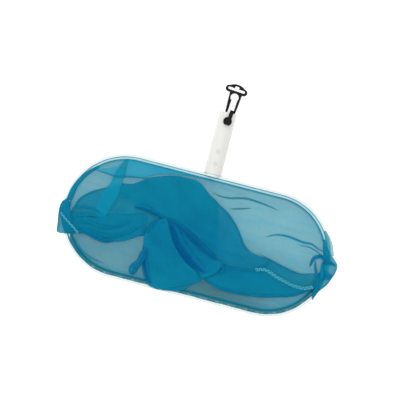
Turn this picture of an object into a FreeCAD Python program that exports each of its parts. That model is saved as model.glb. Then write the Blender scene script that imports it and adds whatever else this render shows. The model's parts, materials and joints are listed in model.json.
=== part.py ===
import FreeCAD, Part
import math
import os
import Sketcher

# Pool leaf skimmer, head only. All lengths are in millimetres and all angles in degrees.
# Origin: on the axis of the pole socket, at its base, where the end of a pole seats against the rim.
# +Y runs out along the socket, +X along the hoop's long axis, +Z up through the net's outer side.
# The underside of the rim and the lowest line of the socket lie in one plane, z = -tube_radius.

V = FreeCAD.Vector

SIZES = {
    # hoop: a stadium of two half circles joined by straights
    "hoop_straight": 234.0,
    "hoop_radius": 100.0,
    "rim_width": 12.0,
    "rim_height": 18.0,
    "rim_round": 1.6,
    "groove_outer": 95.4,
    "groove_inner": 90.4,
    "groove_depth": 8.0,
    "channel_outer": 96.4,
    "channel_inner": 91.4,
    "channel_depth": 7.0,
    # socket: the tube that a pool pole slides over
    "tube_radius": 14.25,
    "tube_length": 100.0,
    "bore_radius": 11.75,
    "mouth_radius": 14.0,
    "mouth_length": 26.0,
    "mouth_chamfer": 0.9,
    "spigot_radius": 11.6,
    "spigot_core": 8.0,
    "spigot_length": 44.0,
    "spigot_wall": 6.0,
    "button_hole_radius": 3.9,
    "button_hole_y": 85.75,
    # two flush screws that hold the tube on the rim's spigot
    "screw_y_low": 16.0,
    "screw_y_high": 36.0,
    "screw_head_radius": 3.0,
    "screw_head_top": 13.8,
    "screw_head_depth": 1.0,
    "screw_shank_radius": 1.25,
    "screw_shank_end": 6.4,
    "screw_cross_width": 0.8,
    "screw_cross_depth": 0.55,
    "counterbore_radius": 3.25,
    "counterbore_floor": 12.7,
    "clearance_radius": 1.7,
    "pilot_radius": 1.3,
    # bead that presses the net's hem into the groove
    "bead_radius": 2.2,
    "bead_path": 92.9,
    "bead_sink": 0.4,
    "bead_gap": 0.8,
    "soft_gap": 0.3,
    "hem_lift": 0.1,
    # snap clip inside the socket
    "clip_width": 7.8,
    "clip_thick": 1.2,
    "clip_bow_y": 52.0,
    "clip_bow_radius": 5.4,
    "clip_hinge_y": 53.5,
    "clip_hinge_z": 4.8,
    "clip_barrel": 0.9,
    "clip_running": 0.05,
    "clip_angle": 7.85,
    "clip_leg_length": 37.2,
    "clip_button_along": 32.8,
    "clip_button_radius": 3.2,
    "clip_button_top": 7.6,
    "clip_neck_radius": 1.5,
    "clip_neck_hole": 1.6,
    # hanger that plugs into the mouth
    "hanger_tilt": 4.2,
    "hanger_y": 86.0,
    "hanger_floor": 2.2,
    "hanger_thick": 2.6,
    "ring_half": 12.5,
    "ring_end": 5.3,
    "ring_mid_y": 51.8,
    "ring_crown": 61.2,
    "slot_half": 11.7,
    "slot_end": 2.0,
    "slot_mid_y": 52.5,
    "slot_bump_half": 3.4,
    "slot_bump_top": 58.0,
    "keyhole_x": 0.76,
    "keyhole_y": 40.2,
    "keyhole_radius": 6.5,
    "leg_gap_left": -2.7,
    "leg_gap_right": 6.3,
    "leg_end_y": 5.7,
    "bridge_left": 0.7,
    "bridge_low": 15.6,
    "bridge_high": 19.4,
    "tongue_left": 0.9,
    "tongue_right": 7.1,
    "tongue_hinge_y": 17.5,
    "tongue_hinge_z": 5.9,
    "tongue_barrel": 1.3,
    "tongue_running": 0.05,
    "tongue_back": 18.6,
    "tongue_riser": 2.2,
    "tongue_under": 14.55,
    "tongue_thick": 1.85,
    "cup_x": 2.2,
    "cup_radius": 6.9,
    "cup_top": 18.6,
    "cup_round": 1.2,
    "cup_flat": -5.9,
    "cup_pocket": 3.75,
    "cup_pocket_y": -0.35,
    "cup_pocket_top": 17.3,
    # net: a lower layer across the mouth, the gathered folds above it, and the two ends over the rim
    "net_layer": 1.2,
    "net_fold_top": 16.0,
    "net_end_top": 12.5,
    "net_edge": 89.6,
    "seam_width": 5.4,
    "seam_thick": 1.6,
    "seam_gap": 0.05,
}

# Plan outlines of the gathered net, as fractions of the hoop's half length and half width.
FOLD_OUTLINE = [
    (-0.86, -0.02), (-0.72, 0.40), (-0.42, 0.70), (-0.12, 0.86), (0.10, 0.50), (0.38, -0.02),
    (0.60, -0.10), (0.86, -0.10), (0.88, -0.32), (0.52, -0.68), (0.15, -0.70), (-0.05, -0.93),
    (-0.24, -0.93), (-0.36, -0.62), (-0.52, -0.46), (-0.84, -0.42),
]
LEFT_END_OUTLINE = [
    (-0.86, -0.05), (-1.00, 0.06), (-1.018, -0.02), (-1.018, -0.20), (-1.00, -0.48),
    (-0.93, -0.52), (-0.84, -0.42),
]
RIGHT_END_OUTLINE = [
    (0.86, -0.10), (0.98, 0.24), (1.035, 0.12), (1.055, 0.02), (1.03, -0.26), (0.975, -0.46),
    (0.94, -0.58), (0.87, -0.34),
]
LEFT_SEAM = [(-1.00, -0.16), (-0.955, -0.26), (-0.915, -0.36)]
RIGHT_SEAM = [(0.48, -0.29), (0.55, -0.26), (0.65, -0.31), (0.77, -0.37), (0.86, -0.36), (0.905, -0.31)]

doc = FreeCAD.newDocument("leaf_skimmer")
sheet = doc.addObject("Spreadsheet::Sheet", "sheet")
for row, (alias, value) in enumerate(SIZES.items(), start=1):
    sheet.set("A%d" % row, alias)
    sheet.set("B%d" % row, str(value))
    sheet.setAlias("B%d" % row, alias)
doc.recompute()


def size(alias):
    """The value in the sheet's cell of that alias."""
    return float(sheet.get(alias))


def cell(text):
    """An expression in which every word that is an alias points at the sheet."""
    out = text
    for alias in sorted(SIZES, key=len, reverse=True):
        out = out.replace(alias, "<%d>" % list(SIZES).index(alias))
    for number, alias in enumerate(SIZES):
        out = out.replace("<%d>" % number, "sheet.%s" % alias)
    return out


def value_of(text):
    """The number that an expression in aliases comes to."""
    return float(sheet_result(text))


def sheet_result(text):
    """Let the document work the expression out, in a cell kept for it."""
    sheet.set("D1", "=" + cell(text).replace("sheet.", ""))
    sheet.recompute()
    return sheet.get("D1")


def bind(thing, **links):
    """Bind properties to expressions in the sheet's aliases."""
    for name, text in links.items():
        thing.setExpression(name, cell(text))


def place(thing, x="0", y="0", z="0"):
    """Bind a sub-part's position to the sheet."""
    for axis, text in (("x", x), ("y", y), ("z", z)):
        thing.setExpression(".Placement.Base." + axis, cell(text))


def new_body(label):
    """An empty PartDesign body with that label."""
    body = doc.addObject("PartDesign::Body", label)
    body.Label = label
    return body


def new_sketch(body, role, name, lift="0"):
    """A sketch on one of the body's own origin planes, lifted along the plane's normal."""
    sketch = body.newObject("Sketcher::SketchObject", name)
    plane = [item for item in body.Origin.OriginFeatures if item.Role == role][0]
    sketch.AttachmentSupport = [(plane, "")]
    sketch.MapMode = "FlatFace"
    sketch.setExpression(".AttachmentOffset.Base.z", cell(lift))
    return sketch


def pin_point(sketch, item, end, x_text, y_text):
    """Fix one point of a sketch at two expressions."""
    for kind, text in (("DistanceX", x_text), ("DistanceY", y_text)):
        number = value_of(text)
        index = sketch.addConstraint(Sketcher.Constraint(kind, -1, 1, item, end, number))
        sketch.setExpression("Constraints[%d]" % index, cell(text))


def polygon(sketch, corners):
    """A closed polygon whose corners are pairs of expressions."""
    points = [V(value_of(x_text), value_of(y_text), 0) for x_text, y_text in corners]
    first = len(sketch.Geometry)
    count = len(points)
    for number in range(count):
        sketch.addGeometry(Part.LineSegment(points[number], points[(number + 1) % count]), False)
    for number in range(count):
        after = first + (number + 1) % count
        sketch.addConstraint(Sketcher.Constraint("Coincident", first + number, 2, after, 1))
    for number, (x_text, y_text) in enumerate(corners):
        pin_point(sketch, first + number, 1, x_text, y_text)


def circle(sketch, x_text, y_text, radius_text):
    """A circle placed and sized by expressions."""
    centre = V(value_of(x_text), value_of(y_text), 0)
    item = sketch.addGeometry(Part.Circle(centre, V(0, 0, 1), value_of(radius_text)), False)
    pin_point(sketch, item, 3, x_text, y_text)
    index = sketch.addConstraint(Sketcher.Constraint("Radius", item, value_of(radius_text)))
    sketch.setExpression("Constraints[%d]" % index, cell(radius_text))


def stadium(sketch, radius_text, straight_text="hoop_straight", x_text="0", y_text="0"):
    """A closed outline of two half circles joined by straights along X."""
    radius = value_of(radius_text)
    half = value_of(straight_text) / 2
    middle = V(value_of(x_text), value_of(y_text), 0)
    right = middle + V(half, 0, 0)
    left = middle - V(half, 0, 0)
    up = V(0, radius, 0)
    quarter = math.pi / 2
    first = len(sketch.Geometry)
    axis = V(0, 0, 1)
    sketch.addGeometry(Part.ArcOfCircle(Part.Circle(right, axis, radius), -quarter, quarter), False)
    sketch.addGeometry(Part.LineSegment(right + up, left + up), False)
    sketch.addGeometry(Part.ArcOfCircle(Part.Circle(left, axis, radius), quarter, 3 * quarter), False)
    sketch.addGeometry(Part.LineSegment(left - up, right - up), False)
    for number in range(4):
        after = first + (number + 1) % 4
        sketch.addConstraint(Sketcher.Constraint("Tangent", first + number, 2, after, 1))
    index = sketch.addConstraint(Sketcher.Constraint("Radius", first, radius))
    sketch.setExpression("Constraints[%d]" % index, cell(radius_text))
    pin_point(sketch, first, 3, "%s + %s / 2" % (x_text, straight_text), y_text)
    pin_point(sketch, first + 2, 3, "%s - %s / 2" % (x_text, straight_text), y_text)


def pad(body, sketch, name, length_text, both_ways=False):
    """Pad a sketch along its plane's normal, or half each way."""
    feature = body.newObject("PartDesign::Pad", name)
    feature.Profile = sketch
    if both_ways:
        feature.SideType = "Symmetric"
    bind(feature, Length=length_text)
    body.Tip = feature
    return feature


def pocket(body, sketch, name, length_text, reverse=False):
    """Cut a sketch into the body and make sure that something was cut."""
    doc.recompute()
    before = body.Tip.Shape.Volume
    feature = body.newObject("PartDesign::Pocket", name)
    feature.Profile = sketch
    feature.Reversed = reverse
    bind(feature, Length=length_text)
    body.Tip = feature
    doc.recompute()
    if feature.Shape.Volume > before - 0.5:
        raise RuntimeError("%s cuts nothing" % name)
    return feature


def round_edges(body, name, radius_text, chosen):
    """Fillet the edges of the body's tip that the test picks."""
    doc.recompute()
    tip = body.Tip
    names = ["Edge%d" % (n + 1) for n, edge in enumerate(tip.Shape.Edges) if chosen(edge)]
    feature = body.newObject("PartDesign::Fillet", name)
    feature.Base = (tip, names)
    bind(feature, Radius=radius_text)
    body.Tip = feature
    return feature


# ---------------------------------------------------------------- hoop and socket

def build_hoop():
    """The moulded rim with its net groove, its coring channel and the spigot for the socket."""
    body = new_body("hoop_frame")
    place(body, y="-hoop_radius", z="-tube_radius")
    outer = new_sketch(body, "XY_Plane", "rim_outline")
    stadium(outer, "hoop_radius")
    pad(body, outer, "rim_pad", "rim_height")
    inner = new_sketch(body, "XY_Plane", "rim_opening", "rim_height")
    stadium(inner, "hoop_radius - rim_width")
    pocket(body, inner, "rim_cut", "rim_height + 1")
    outside = size("hoop_radius")
    inside = outside - size("rim_width")
    half = size("hoop_straight") / 2

    def on_rim_corner(edge):
        for vertex in edge.Vertexes:
            reach = math.hypot(max(abs(vertex.X) - half, 0), vertex.Y)
            if min(abs(reach - outside), abs(reach - inside)) > 0.01:
                return False
        return abs(edge.Vertexes[0].Z - edge.Vertexes[-1].Z) < 0.01

    round_edges(body, "rim_fillet", "rim_round", on_rim_corner)
    groove = new_sketch(body, "XY_Plane", "groove_outline", "rim_height")
    stadium(groove, "groove_outer")
    stadium(groove, "groove_inner")
    pocket(body, groove, "groove_cut", "groove_depth")
    channel = new_sketch(body, "XY_Plane", "channel_outline")
    stadium(channel, "channel_outer")
    stadium(channel, "channel_inner")
    pocket(body, channel, "channel_cut", "channel_depth", reverse=True)
    spigot_end = "hoop_radius + spigot_length"
    spigot = new_sketch(body, "XZ_Plane", "spigot_circle", "-(%s)" % spigot_end)
    circle(spigot, "0", "tube_radius", "spigot_radius")
    pad(body, spigot, "spigot_pad", "spigot_length + hoop_radius - groove_outer - 0.2")
    core = new_sketch(body, "XZ_Plane", "core_circle", "-(%s)" % spigot_end)
    circle(core, "0", "tube_radius", "spigot_core")
    pocket(body, core, "core_cut", "spigot_length - spigot_wall", reverse=True)
    pilots = new_sketch(body, "XY_Plane", "pilot_circles", "tube_radius + spigot_radius + 1")
    for along in ("screw_y_low", "screw_y_high"):
        circle(pilots, "0", "hoop_radius + " + along, "pilot_radius")
    pocket(body, pilots, "pilot_cut", "spigot_radius - spigot_core + 2")
    return body


def build_socket():
    """The tube, turned about the pole axis, with its button hole and counterbored screw holes."""
    body = new_body("handle_socket")
    section = new_sketch(body, "YZ_Plane", "tube_section")
    shoulder = "tube_length - mouth_length"
    polygon(section, [
        ("0", "bore_radius"),
        ("0", "tube_radius"),
        (shoulder, "tube_radius"),
        (shoulder + " + tube_radius - mouth_radius", "mouth_radius"),
        ("tube_length - mouth_chamfer", "mouth_radius"),
        ("tube_length", "mouth_radius - mouth_chamfer"),
        ("tube_length", "bore_radius + mouth_chamfer / 2"),
        ("tube_length - mouth_chamfer / 2", "bore_radius"),
    ])
    turn = body.newObject("PartDesign::Revolution", "tube_turn")
    turn.Profile = section
    turn.ReferenceAxis = (section, ["H_Axis"])
    turn.Angle = 360.0
    body.Tip = turn
    hole = new_sketch(body, "XY_Plane", "button_circle", "tube_radius + 1")
    circle(hole, "0", "button_hole_y", "button_hole_radius")
    pocket(body, hole, "button_cut", "tube_radius - bore_radius + 3")
    seats = new_sketch(body, "XY_Plane", "seat_circles", "tube_radius + 1")
    bores = new_sketch(body, "XY_Plane", "clearance_circles", "tube_radius + 1")
    for along in ("screw_y_low", "screw_y_high"):
        circle(seats, "0", along, "counterbore_radius")
        circle(bores, "0", along, "clearance_radius")
    pocket(body, seats, "seat_cut", "tube_radius + 1 - counterbore_floor")
    pocket(body, bores, "clearance_cut", "tube_radius - bore_radius + 2")
    return body


def bar(name, x_text, y_text, z_text, length_text, width_text, height_text):
    """A box whose low corner and sizes are expressions."""
    item = doc.addObject("Part::Box", name)
    bind(item, Length=length_text, Width=width_text, Height=height_text)
    place(item, x_text, y_text, z_text)
    return item


def rod(name, along, x_text, y_text, z_text, radius_text, length_text):
    """A cylinder from a base point along X, Y or Z."""
    item = doc.addObject("Part::Cylinder", name)
    turns = {"X": (V(0, 1, 0), 90), "Y": (V(1, 0, 0), -90), "Z": (V(0, 0, 1), 0)}
    item.Placement = FreeCAD.Placement(V(0, 0, 0), FreeCAD.Rotation(*turns[along]))
    bind(item, Radius=radius_text, Height=length_text)
    place(item, x_text, y_text, z_text)
    return item


def joined(name, items):
    """One solid from several."""
    fuse = doc.addObject("Part::MultiFuse", name)
    fuse.Shapes = items
    fuse.Refine = True
    return fuse


def minus(name, base, tool):
    """One solid less another."""
    cut = doc.addObject("Part::Cut", name)
    cut.Base = base
    cut.Tool = tool
    return cut


def build_screws():
    """Two flush cross-recess screws, one above the other on the tube's upper line."""
    screws = []
    for tag in ("low", "high"):
        along = "screw_y_" + tag
        floor = "screw_head_top - screw_head_depth"
        head = rod("head_" + tag, "Z", "0", along, floor, "screw_head_radius", "screw_head_depth")
        shank = rod("shank_" + tag, "Z", "0", along, "screw_shank_end", "screw_shank_radius",
                    floor + " - screw_shank_end + 0.1")
        whole = joined("screw_" + tag, [head, shank])
        reach = "screw_head_radius * 0.6"
        sink = "screw_head_top - screw_cross_depth"
        slots = []
        for number in range(2):
            wide = "2 * " + reach if number == 0 else "screw_cross_width"
            deep = "screw_cross_width" if number == 0 else "2 * " + reach
            slots.append(bar("cross_%s_%d" % (tag, number), "-(%s) / 2" % wide,
                             "%s - (%s) / 2" % (along, deep), sink, wide, deep, "2"))
        screws.append(minus("screw_cut_" + tag, whole, joined("cross_" + tag, slots)))
    group = doc.addObject("Part::Compound", "socket_screws")
    group.Links = screws
    group.Label = "socket_screws"
    return group


def build_bead():
    """The round bead in the groove, a stadium ring with a small gap where its ends meet."""
    level = "rim_height - tube_radius - bead_sink - bead_radius"
    pieces = []
    for side, sign in (("right", 1), ("left", -1)):
        ring = doc.addObject("Part::Torus", "bead_bend_" + side)
        bind(ring, Radius1="bead_path", Radius2="bead_radius")
        ring.Angle3 = 180.0
        ring.Placement = FreeCAD.Placement(V(0, 0, 0), FreeCAD.Rotation(V(0, 0, 1), -90 * sign))
        place(ring, "%d * hoop_straight / 2" % sign, "-hoop_radius", level)
        pieces.append(ring)
    for side, sign in (("far", 1), ("near", -1)):
        pieces.append(rod("bead_run_" + side, "X", "-hoop_straight / 2",
                          "-hoop_radius + %d * bead_path" % sign, level, "bead_radius", "hoop_straight"))
    whole = joined("bead_ring", pieces)
    gap = bar("bead_gap_box", "-bead_gap / 2", "-hoop_radius - bead_path - 4", "-4", "bead_gap", "8", "10")
    bead = minus("net_spline", whole, gap)
    bead.Label = "net_spline"
    return bead


def build_hem():
    """The bound hem of the net, folded flat in the bottom of the groove under the bead."""
    body = new_body("net_hem")
    place(body, y="-hoop_radius", z="rim_height - tube_radius - groove_depth + hem_lift")
    outline = new_sketch(body, "XY_Plane", "hem_outline")
    stadium(outline, "groove_outer - soft_gap")
    stadium(outline, "groove_inner + soft_gap")
    pad(body, outline, "hem_pad", "groove_depth - bead_sink - 2 * bead_radius - 2 * hem_lift")
    return body


# ---------------------------------------------------------------- snap clip

def build_clip_spring():
    """The bow at the closed end of the clip and its plain lower leg, which braces on the bore."""
    half = "clip_width / 2"
    outer = rod("bow_outer", "X", "-" + half, "clip_bow_y", "0", "clip_bow_radius", "clip_width")
    inner = rod("bow_inner", "X", "-%s - 1" % half, "clip_bow_y", "0", "clip_bow_radius - clip_thick",
                "clip_width + 2")
    ring = minus("bow_ring", outer, inner)
    front = bar("bow_front", "-%s - 1" % half, "clip_bow_y", "-10", "clip_width + 2", "20", "20")
    bow = minus("bow_half", ring, front)
    stub = bar("bow_stub", "-" + half, "clip_bow_y - 0.01", "clip_bow_radius - clip_thick", "clip_width",
               "clip_hinge_y - clip_bow_y", "clip_thick")
    leg = doc.addObject("Part::Box", "brace_leg")
    leg.Placement = FreeCAD.Placement(V(0, 0, 0), FreeCAD.Rotation(V(1, 0, 0), -size("clip_angle")))
    bind(leg, Length="clip_width", Width="clip_leg_length + 1.4", Height="clip_thick")
    place(leg, "-" + half, "clip_bow_y - 0.08", "-clip_bow_radius + 0.01")
    strip = joined("clip_strip", [bow, stub, leg])
    eye = rod("hinge_clearance", "X", "-%s - 1" % half, "clip_hinge_y", "clip_hinge_z",
              "clip_barrel + clip_running", "clip_width + 2")
    spring = minus("clip_spring", strip, eye)
    spring.Label = "clip_spring"
    return spring


def tilt_about_hinge(item):
    """Turn a piece built along +Y from the hinge to the clip's resting angle."""
    item.Placement = FreeCAD.Placement(V(0, 0, 0), FreeCAD.Rotation(V(1, 0, 0), size("clip_angle")))
    place(item, y="clip_hinge_y", z="clip_hinge_z")


def build_clip_leg():
    """The upper leg, from its rolled root at the hinge to its tip, holed for the button's neck."""
    body = new_body("clip_leg")
    tilt_about_hinge(body)
    strip = new_sketch(body, "YZ_Plane", "leg_section")
    polygon(strip, [("0", "-clip_thick / 2"), ("clip_leg_length", "-clip_thick / 2"),
                    ("clip_leg_length", "clip_thick / 2"), ("0", "clip_thick / 2")])
    pad(body, strip, "leg_pad", "clip_width", both_ways=True)
    root = new_sketch(body, "YZ_Plane", "root_circle")
    circle(root, "0", "0", "clip_barrel")
    pad(body, root, "root_pad", "clip_width", both_ways=True)
    neck = new_sketch(body, "XY_Plane", "neck_circle", "clip_thick")
    circle(neck, "0", "clip_button_along", "clip_neck_hole")
    pocket(body, neck, "neck_cut", "2 * clip_thick")
    return body


def build_clip_button():
    """The button, turned: a neck through the leg, a straight body and a rounded nose."""
    body = new_body("clip_button")
    tilt_about_hinge(body)
    neck = new_sketch(body, "XY_Plane", "button_neck", "-clip_thick / 2")
    circle(neck, "0", "clip_button_along", "clip_neck_radius")
    pad(body, neck, "neck_pad", "clip_thick + 0.1")
    head = new_sketch(body, "XY_Plane", "button_head", "clip_thick / 2 + clip_running")
    circle(head, "0", "clip_button_along", "clip_button_radius")
    pad(body, head, "head_pad", "clip_button_top - clip_thick / 2 - clip_running")
    top = size("clip_button_top")
    round_edges(body, "nose_fillet", "clip_thick", lambda edge: abs(edge.CenterOfMass.z - top) < 0.01)
    return body


# ---------------------------------------------------------------- hanger

def place_hanger(item):
    """Lean a hanger piece on the tube's upper face, about the snap clip's button."""
    item.Placement = FreeCAD.Placement(V(0, 0, 0), FreeCAD.Rotation(V(0, 0, 1), -size("hanger_tilt")))
    place(item, y="hanger_y")


def crowned_ring(sketch):
    """The ring's outline: a straight foot, two round ends and a crowned top."""
    half = size("ring_half")
    end = size("ring_end")
    middle = size("ring_mid_y")
    crown = size("ring_crown")
    low = middle - end
    high = middle + end
    quarter = math.pi / 2
    axis = V(0, 0, 1)
    sketch.addGeometry(Part.LineSegment(V(-half, low, 0), V(half, low, 0)), False)
    right = Part.Circle(V(half, middle, 0), axis, end)
    sketch.addGeometry(Part.ArcOfCircle(right, -quarter, quarter), False)
    sketch.addGeometry(Part.Arc(V(half, high, 0), V(0, crown, 0), V(-half, high, 0)), False)
    left = Part.Circle(V(-half, middle, 0), axis, end)
    sketch.addGeometry(Part.ArcOfCircle(left, quarter, 3 * quarter), False)
    for first, first_end, second, second_end in ((0, 2, 1, 1), (1, 2, 2, 1), (2, 2, 3, 1), (3, 2, 0, 1)):
        sketch.addConstraint(Sketcher.Constraint("Coincident", first, first_end, second, second_end))
    pin_point(sketch, 0, 1, "-ring_half", "ring_mid_y - ring_end")
    pin_point(sketch, 0, 2, "ring_half", "ring_mid_y - ring_end")
    pin_point(sketch, 1, 3, "ring_half", "ring_mid_y")
    pin_point(sketch, 3, 3, "-ring_half", "ring_mid_y")


def build_hanger_body():
    """A flat plate: slotted ring, keyhole neck and two legs that push into the bore."""
    body = new_body("hanger_body")
    place_hanger(body)
    ring = new_sketch(body, "XY_Plane", "ring_outline", "hanger_floor")
    crowned_ring(ring)
    pad(body, ring, "ring_pad", "hanger_thick")
    legs = new_sketch(body, "XY_Plane", "leg_outline", "hanger_floor")
    polygon(legs, [
        ("keyhole_x - 10.1", "ring_mid_y - ring_end + 0.6"),
        ("keyhole_x - 9.0", "keyhole_y - 6"),
        ("leg_gap_left - 3.95", "bridge_low + 2"),
        ("leg_gap_left - 3.6", "bridge_low - 1.8"),
        ("leg_gap_left - 2.7", "leg_end_y"),
        ("leg_gap_right + 2.3", "leg_end_y"),
        ("leg_gap_right + 2.9", "bridge_low - 1"),
        ("leg_gap_right + 3.55", "bridge_high - 0.6"),
        ("keyhole_x + 9.8", "keyhole_y - 6"),
        ("keyhole_x + 10.1", "ring_mid_y - ring_end + 0.6"),
    ])
    pad(body, legs, "leg_pad", "hanger_thick")
    top = "hanger_floor + hanger_thick"
    depth = "hanger_thick + 1"
    gap = new_sketch(body, "XY_Plane", "gap_outline", top)
    polygon(gap, [
        ("leg_gap_left", "leg_end_y - 1"),
        ("leg_gap_right", "leg_end_y - 1"),
        ("leg_gap_right", "bridge_low"),
        ("bridge_left", "bridge_low"),
        ("bridge_left", "bridge_high"),
        ("leg_gap_right", "bridge_high"),
        ("leg_gap_right", "keyhole_y"),
        ("leg_gap_left", "keyhole_y"),
    ])
    pocket(body, gap, "gap_cut", depth)
    keyhole = new_sketch(body, "XY_Plane", "keyhole_circle", top)
    circle(keyhole, "keyhole_x", "keyhole_y", "keyhole_radius")
    pocket(body, keyhole, "keyhole_cut", depth)
    slot = new_sketch(body, "XY_Plane", "slot_outline", top)
    stadium(slot, "slot_end", "2 * slot_half", "0", "slot_mid_y")
    pocket(body, slot, "slot_cut", depth)
    bump = new_sketch(body, "XY_Plane", "bump_outline", top)
    polygon(bump, [
        ("-slot_bump_half", "slot_mid_y"),
        ("slot_bump_half", "slot_mid_y"),
        ("slot_bump_half", "slot_bump_top - 1.2"),
        ("slot_bump_half - 1.2", "slot_bump_top"),
        ("1.2 - slot_bump_half", "slot_bump_top"),
        ("-slot_bump_half", "slot_bump_top - 1.2"),
    ])
    pocket(body, bump, "bump_cut", depth)
    cradle = new_sketch(body, "YZ_Plane", "cradle_circle", "bridge_left - 1")
    circle(cradle, "tongue_hinge_y", "tongue_hinge_z", "tongue_barrel + tongue_running")
    pocket(body, cradle, "cradle_cut", "tongue_right - bridge_left + 2", reverse=True)
    return body


def build_hanger_tongue():
    """The spring tongue: root on the bridge, riser, strap over the tube and the cup on the button."""
    body = new_body("hanger_tongue")
    place_hanger(body)
    width = "tongue_right - tongue_left"
    side = new_sketch(body, "YZ_Plane", "tongue_side", "tongue_left")
    riser_front = "tongue_back - tongue_riser"
    strap_top = "tongue_under + tongue_thick"
    polygon(side, [
        (riser_front, "tongue_hinge_z"),
        ("tongue_back", "tongue_hinge_z"),
        ("tongue_back", strap_top + " - 0.8"),
        ("tongue_back - 0.8", strap_top),
        ("3", strap_top),
        ("3", "tongue_under"),
        (riser_front, "tongue_under"),
    ])
    pad(body, side, "tongue_pad", width)
    root = new_sketch(body, "YZ_Plane", "root_disc", "tongue_left")
    circle(root, "tongue_hinge_y", "tongue_hinge_z", "tongue_barrel")
    pad(body, root, "root_pad_tongue", width)
    cup = new_sketch(body, "XY_Plane", "cup_circle", "tongue_under")
    circle(cup, "cup_x", "0", "cup_radius")
    pad(body, cup, "cup_pad", "cup_top - tongue_under")
    top = size("cup_top")
    round_edges(body, "cup_fillet", "cup_round",
                lambda edge: abs(edge.CenterOfMass.z - top) < 0.01 and edge.Length > 10)
    hollow = new_sketch(body, "XY_Plane", "pocket_circle", "tongue_under")
    circle(hollow, "0", "cup_pocket_y", "cup_pocket")
    pocket(body, hollow, "pocket_cut", "cup_pocket_top - tongue_under", reverse=True)
    mouth = new_sketch(body, "XY_Plane", "pocket_mouth", "tongue_under")
    polygon(mouth, [("-cup_pocket", "-cup_radius - 1"), ("cup_pocket", "-cup_radius - 1"),
                    ("cup_pocket", "cup_pocket_y"), ("-cup_pocket", "cup_pocket_y")])
    pocket(body, mouth, "mouth_cut", "cup_pocket_top - tongue_under", reverse=True)
    flat = new_sketch(body, "XY_Plane", "flat_outline", "tongue_under")
    polygon(flat, [("-cup_radius * 2", "cup_flat - 4"), ("cup_radius * 2", "cup_flat - 4"),
                   ("cup_radius * 2", "cup_flat"), ("-cup_radius * 2", "cup_flat")])
    pocket(body, flat, "flat_cut", "cup_top - tongue_under + 1", reverse=True)
    return body


# ---------------------------------------------------------------- net

def plan_points(fractions):
    """Plan positions of fractions of the hoop's half length and half width."""
    half_length = size("hoop_straight") / 2 + size("hoop_radius")
    half_width = size("hoop_radius")
    return [V(x * half_length, y * half_width - half_width, 0) for x, y in fractions]


def smooth_prism(fractions, low, high):
    """A closed smooth outline in plan, raised from one level to another."""
    curve = Part.BSplineCurve()
    curve.interpolate(Points=plan_points(fractions), PeriodicFlag=True)
    face = Part.Face(Part.Wire([curve.toShape()]))
    face.translate(V(0, 0, low))
    return face.extrude(V(0, 0, high - low))


def stadium_prism(radius, low, high):
    """A stadium slab centred on the hoop."""
    half = size("hoop_straight") / 2
    centre_y = -size("hoop_radius")
    middle = Part.makeBox(2 * half, 2 * radius, high - low, V(-half, centre_y - radius, low))
    ends = [Part.makeCylinder(radius, high - low, V(sign * half, centre_y, low)) for sign in (-1, 1)]
    return middle.fuse(ends).removeSplitter()


def build_net_bag():
    """The net lying on the rim: one layer over the mouth, folds gathered on it, ends over the rim."""
    floor = size("rim_height") - size("tube_radius") + size("soft_gap")
    layer_top = floor + size("net_layer")
    whole = stadium_prism(size("net_edge"), floor, layer_top)
    pieces = [
        smooth_prism(FOLD_OUTLINE, floor, size("net_fold_top")),
        smooth_prism(LEFT_END_OUTLINE, floor, size("net_end_top")),
        smooth_prism(RIGHT_END_OUTLINE, floor, size("net_end_top")),
    ]
    whole = whole.fuse(pieces).removeSplitter()
    bag = doc.addObject("Part::Feature", "net_bag")
    bag.Shape = whole.Solids[0] if len(whole.Solids) == 1 else whole
    bag.Label = "net_bag"
    return bag


def build_seam(label, fractions, level):
    """An overlocked seam: a flat band of one width along a path in plan."""
    points = plan_points(fractions)
    half = size("seam_width") / 2
    pieces = []
    for start, stop in zip(points, points[1:]):
        along = stop - start
        side = V(-along.y, along.x, 0).normalize() * half
        wire = Part.makePolygon([start - side, stop - side, stop + side, start + side, start - side])
        pieces.append(Part.Face(wire))
    for point in points:
        pieces.append(Part.Face(Part.Wire([Part.makeCircle(half, point)])))
    outline = pieces[0].fuse(pieces[1:]).removeSplitter()
    outline.translate(V(0, 0, level + size("seam_gap")))
    seam = doc.addObject("Part::Feature", label)
    seam.Shape = outline.extrude(V(0, 0, size("seam_thick"))).Solids[0]
    seam.Label = label
    return seam


# ---------------------------------------------------------------- build, check and write

def main():
    """Build every sub-part, refuse a bad one, and write the STEP files."""
    subparts = [
        build_hoop(),
        build_socket(),
        build_screws(),
        build_bead(),
        build_hem(),
        build_clip_spring(),
        build_clip_leg(),
        build_clip_button(),
        build_hanger_body(),
        build_hanger_tongue(),
        build_net_bag(),
        build_seam("side_seam_left", LEFT_SEAM, size("net_end_top")),
        build_seam("side_seam_right", RIGHT_SEAM, size("net_fold_top")),
    ]
    doc.recompute()
    for item in doc.Objects:
        if "Invalid" in item.State or "Error" in item.State:
            raise RuntimeError("%s did not compute: %s" % (item.Name, item.State))
    for item in subparts:
        if item.Shape.isNull() or not item.Shape.isValid():
            raise RuntimeError("%s has no valid shape" % item.Label)
    os.makedirs("parts", exist_ok=True)
    for item in subparts:
        item.Shape.exportStep("parts/%s.step" % item.Label)
        box = item.Shape.BoundBox
        print("%-16s solids %d volume %9.1f  x %.2f..%.2f  y %.2f..%.2f  z %.2f..%.2f" % (
            item.Label, len(item.Shape.Solids), item.Shape.Volume,
            box.XMin, box.XMax, box.YMin, box.YMax, box.ZMin, box.ZMax))


main()
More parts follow.
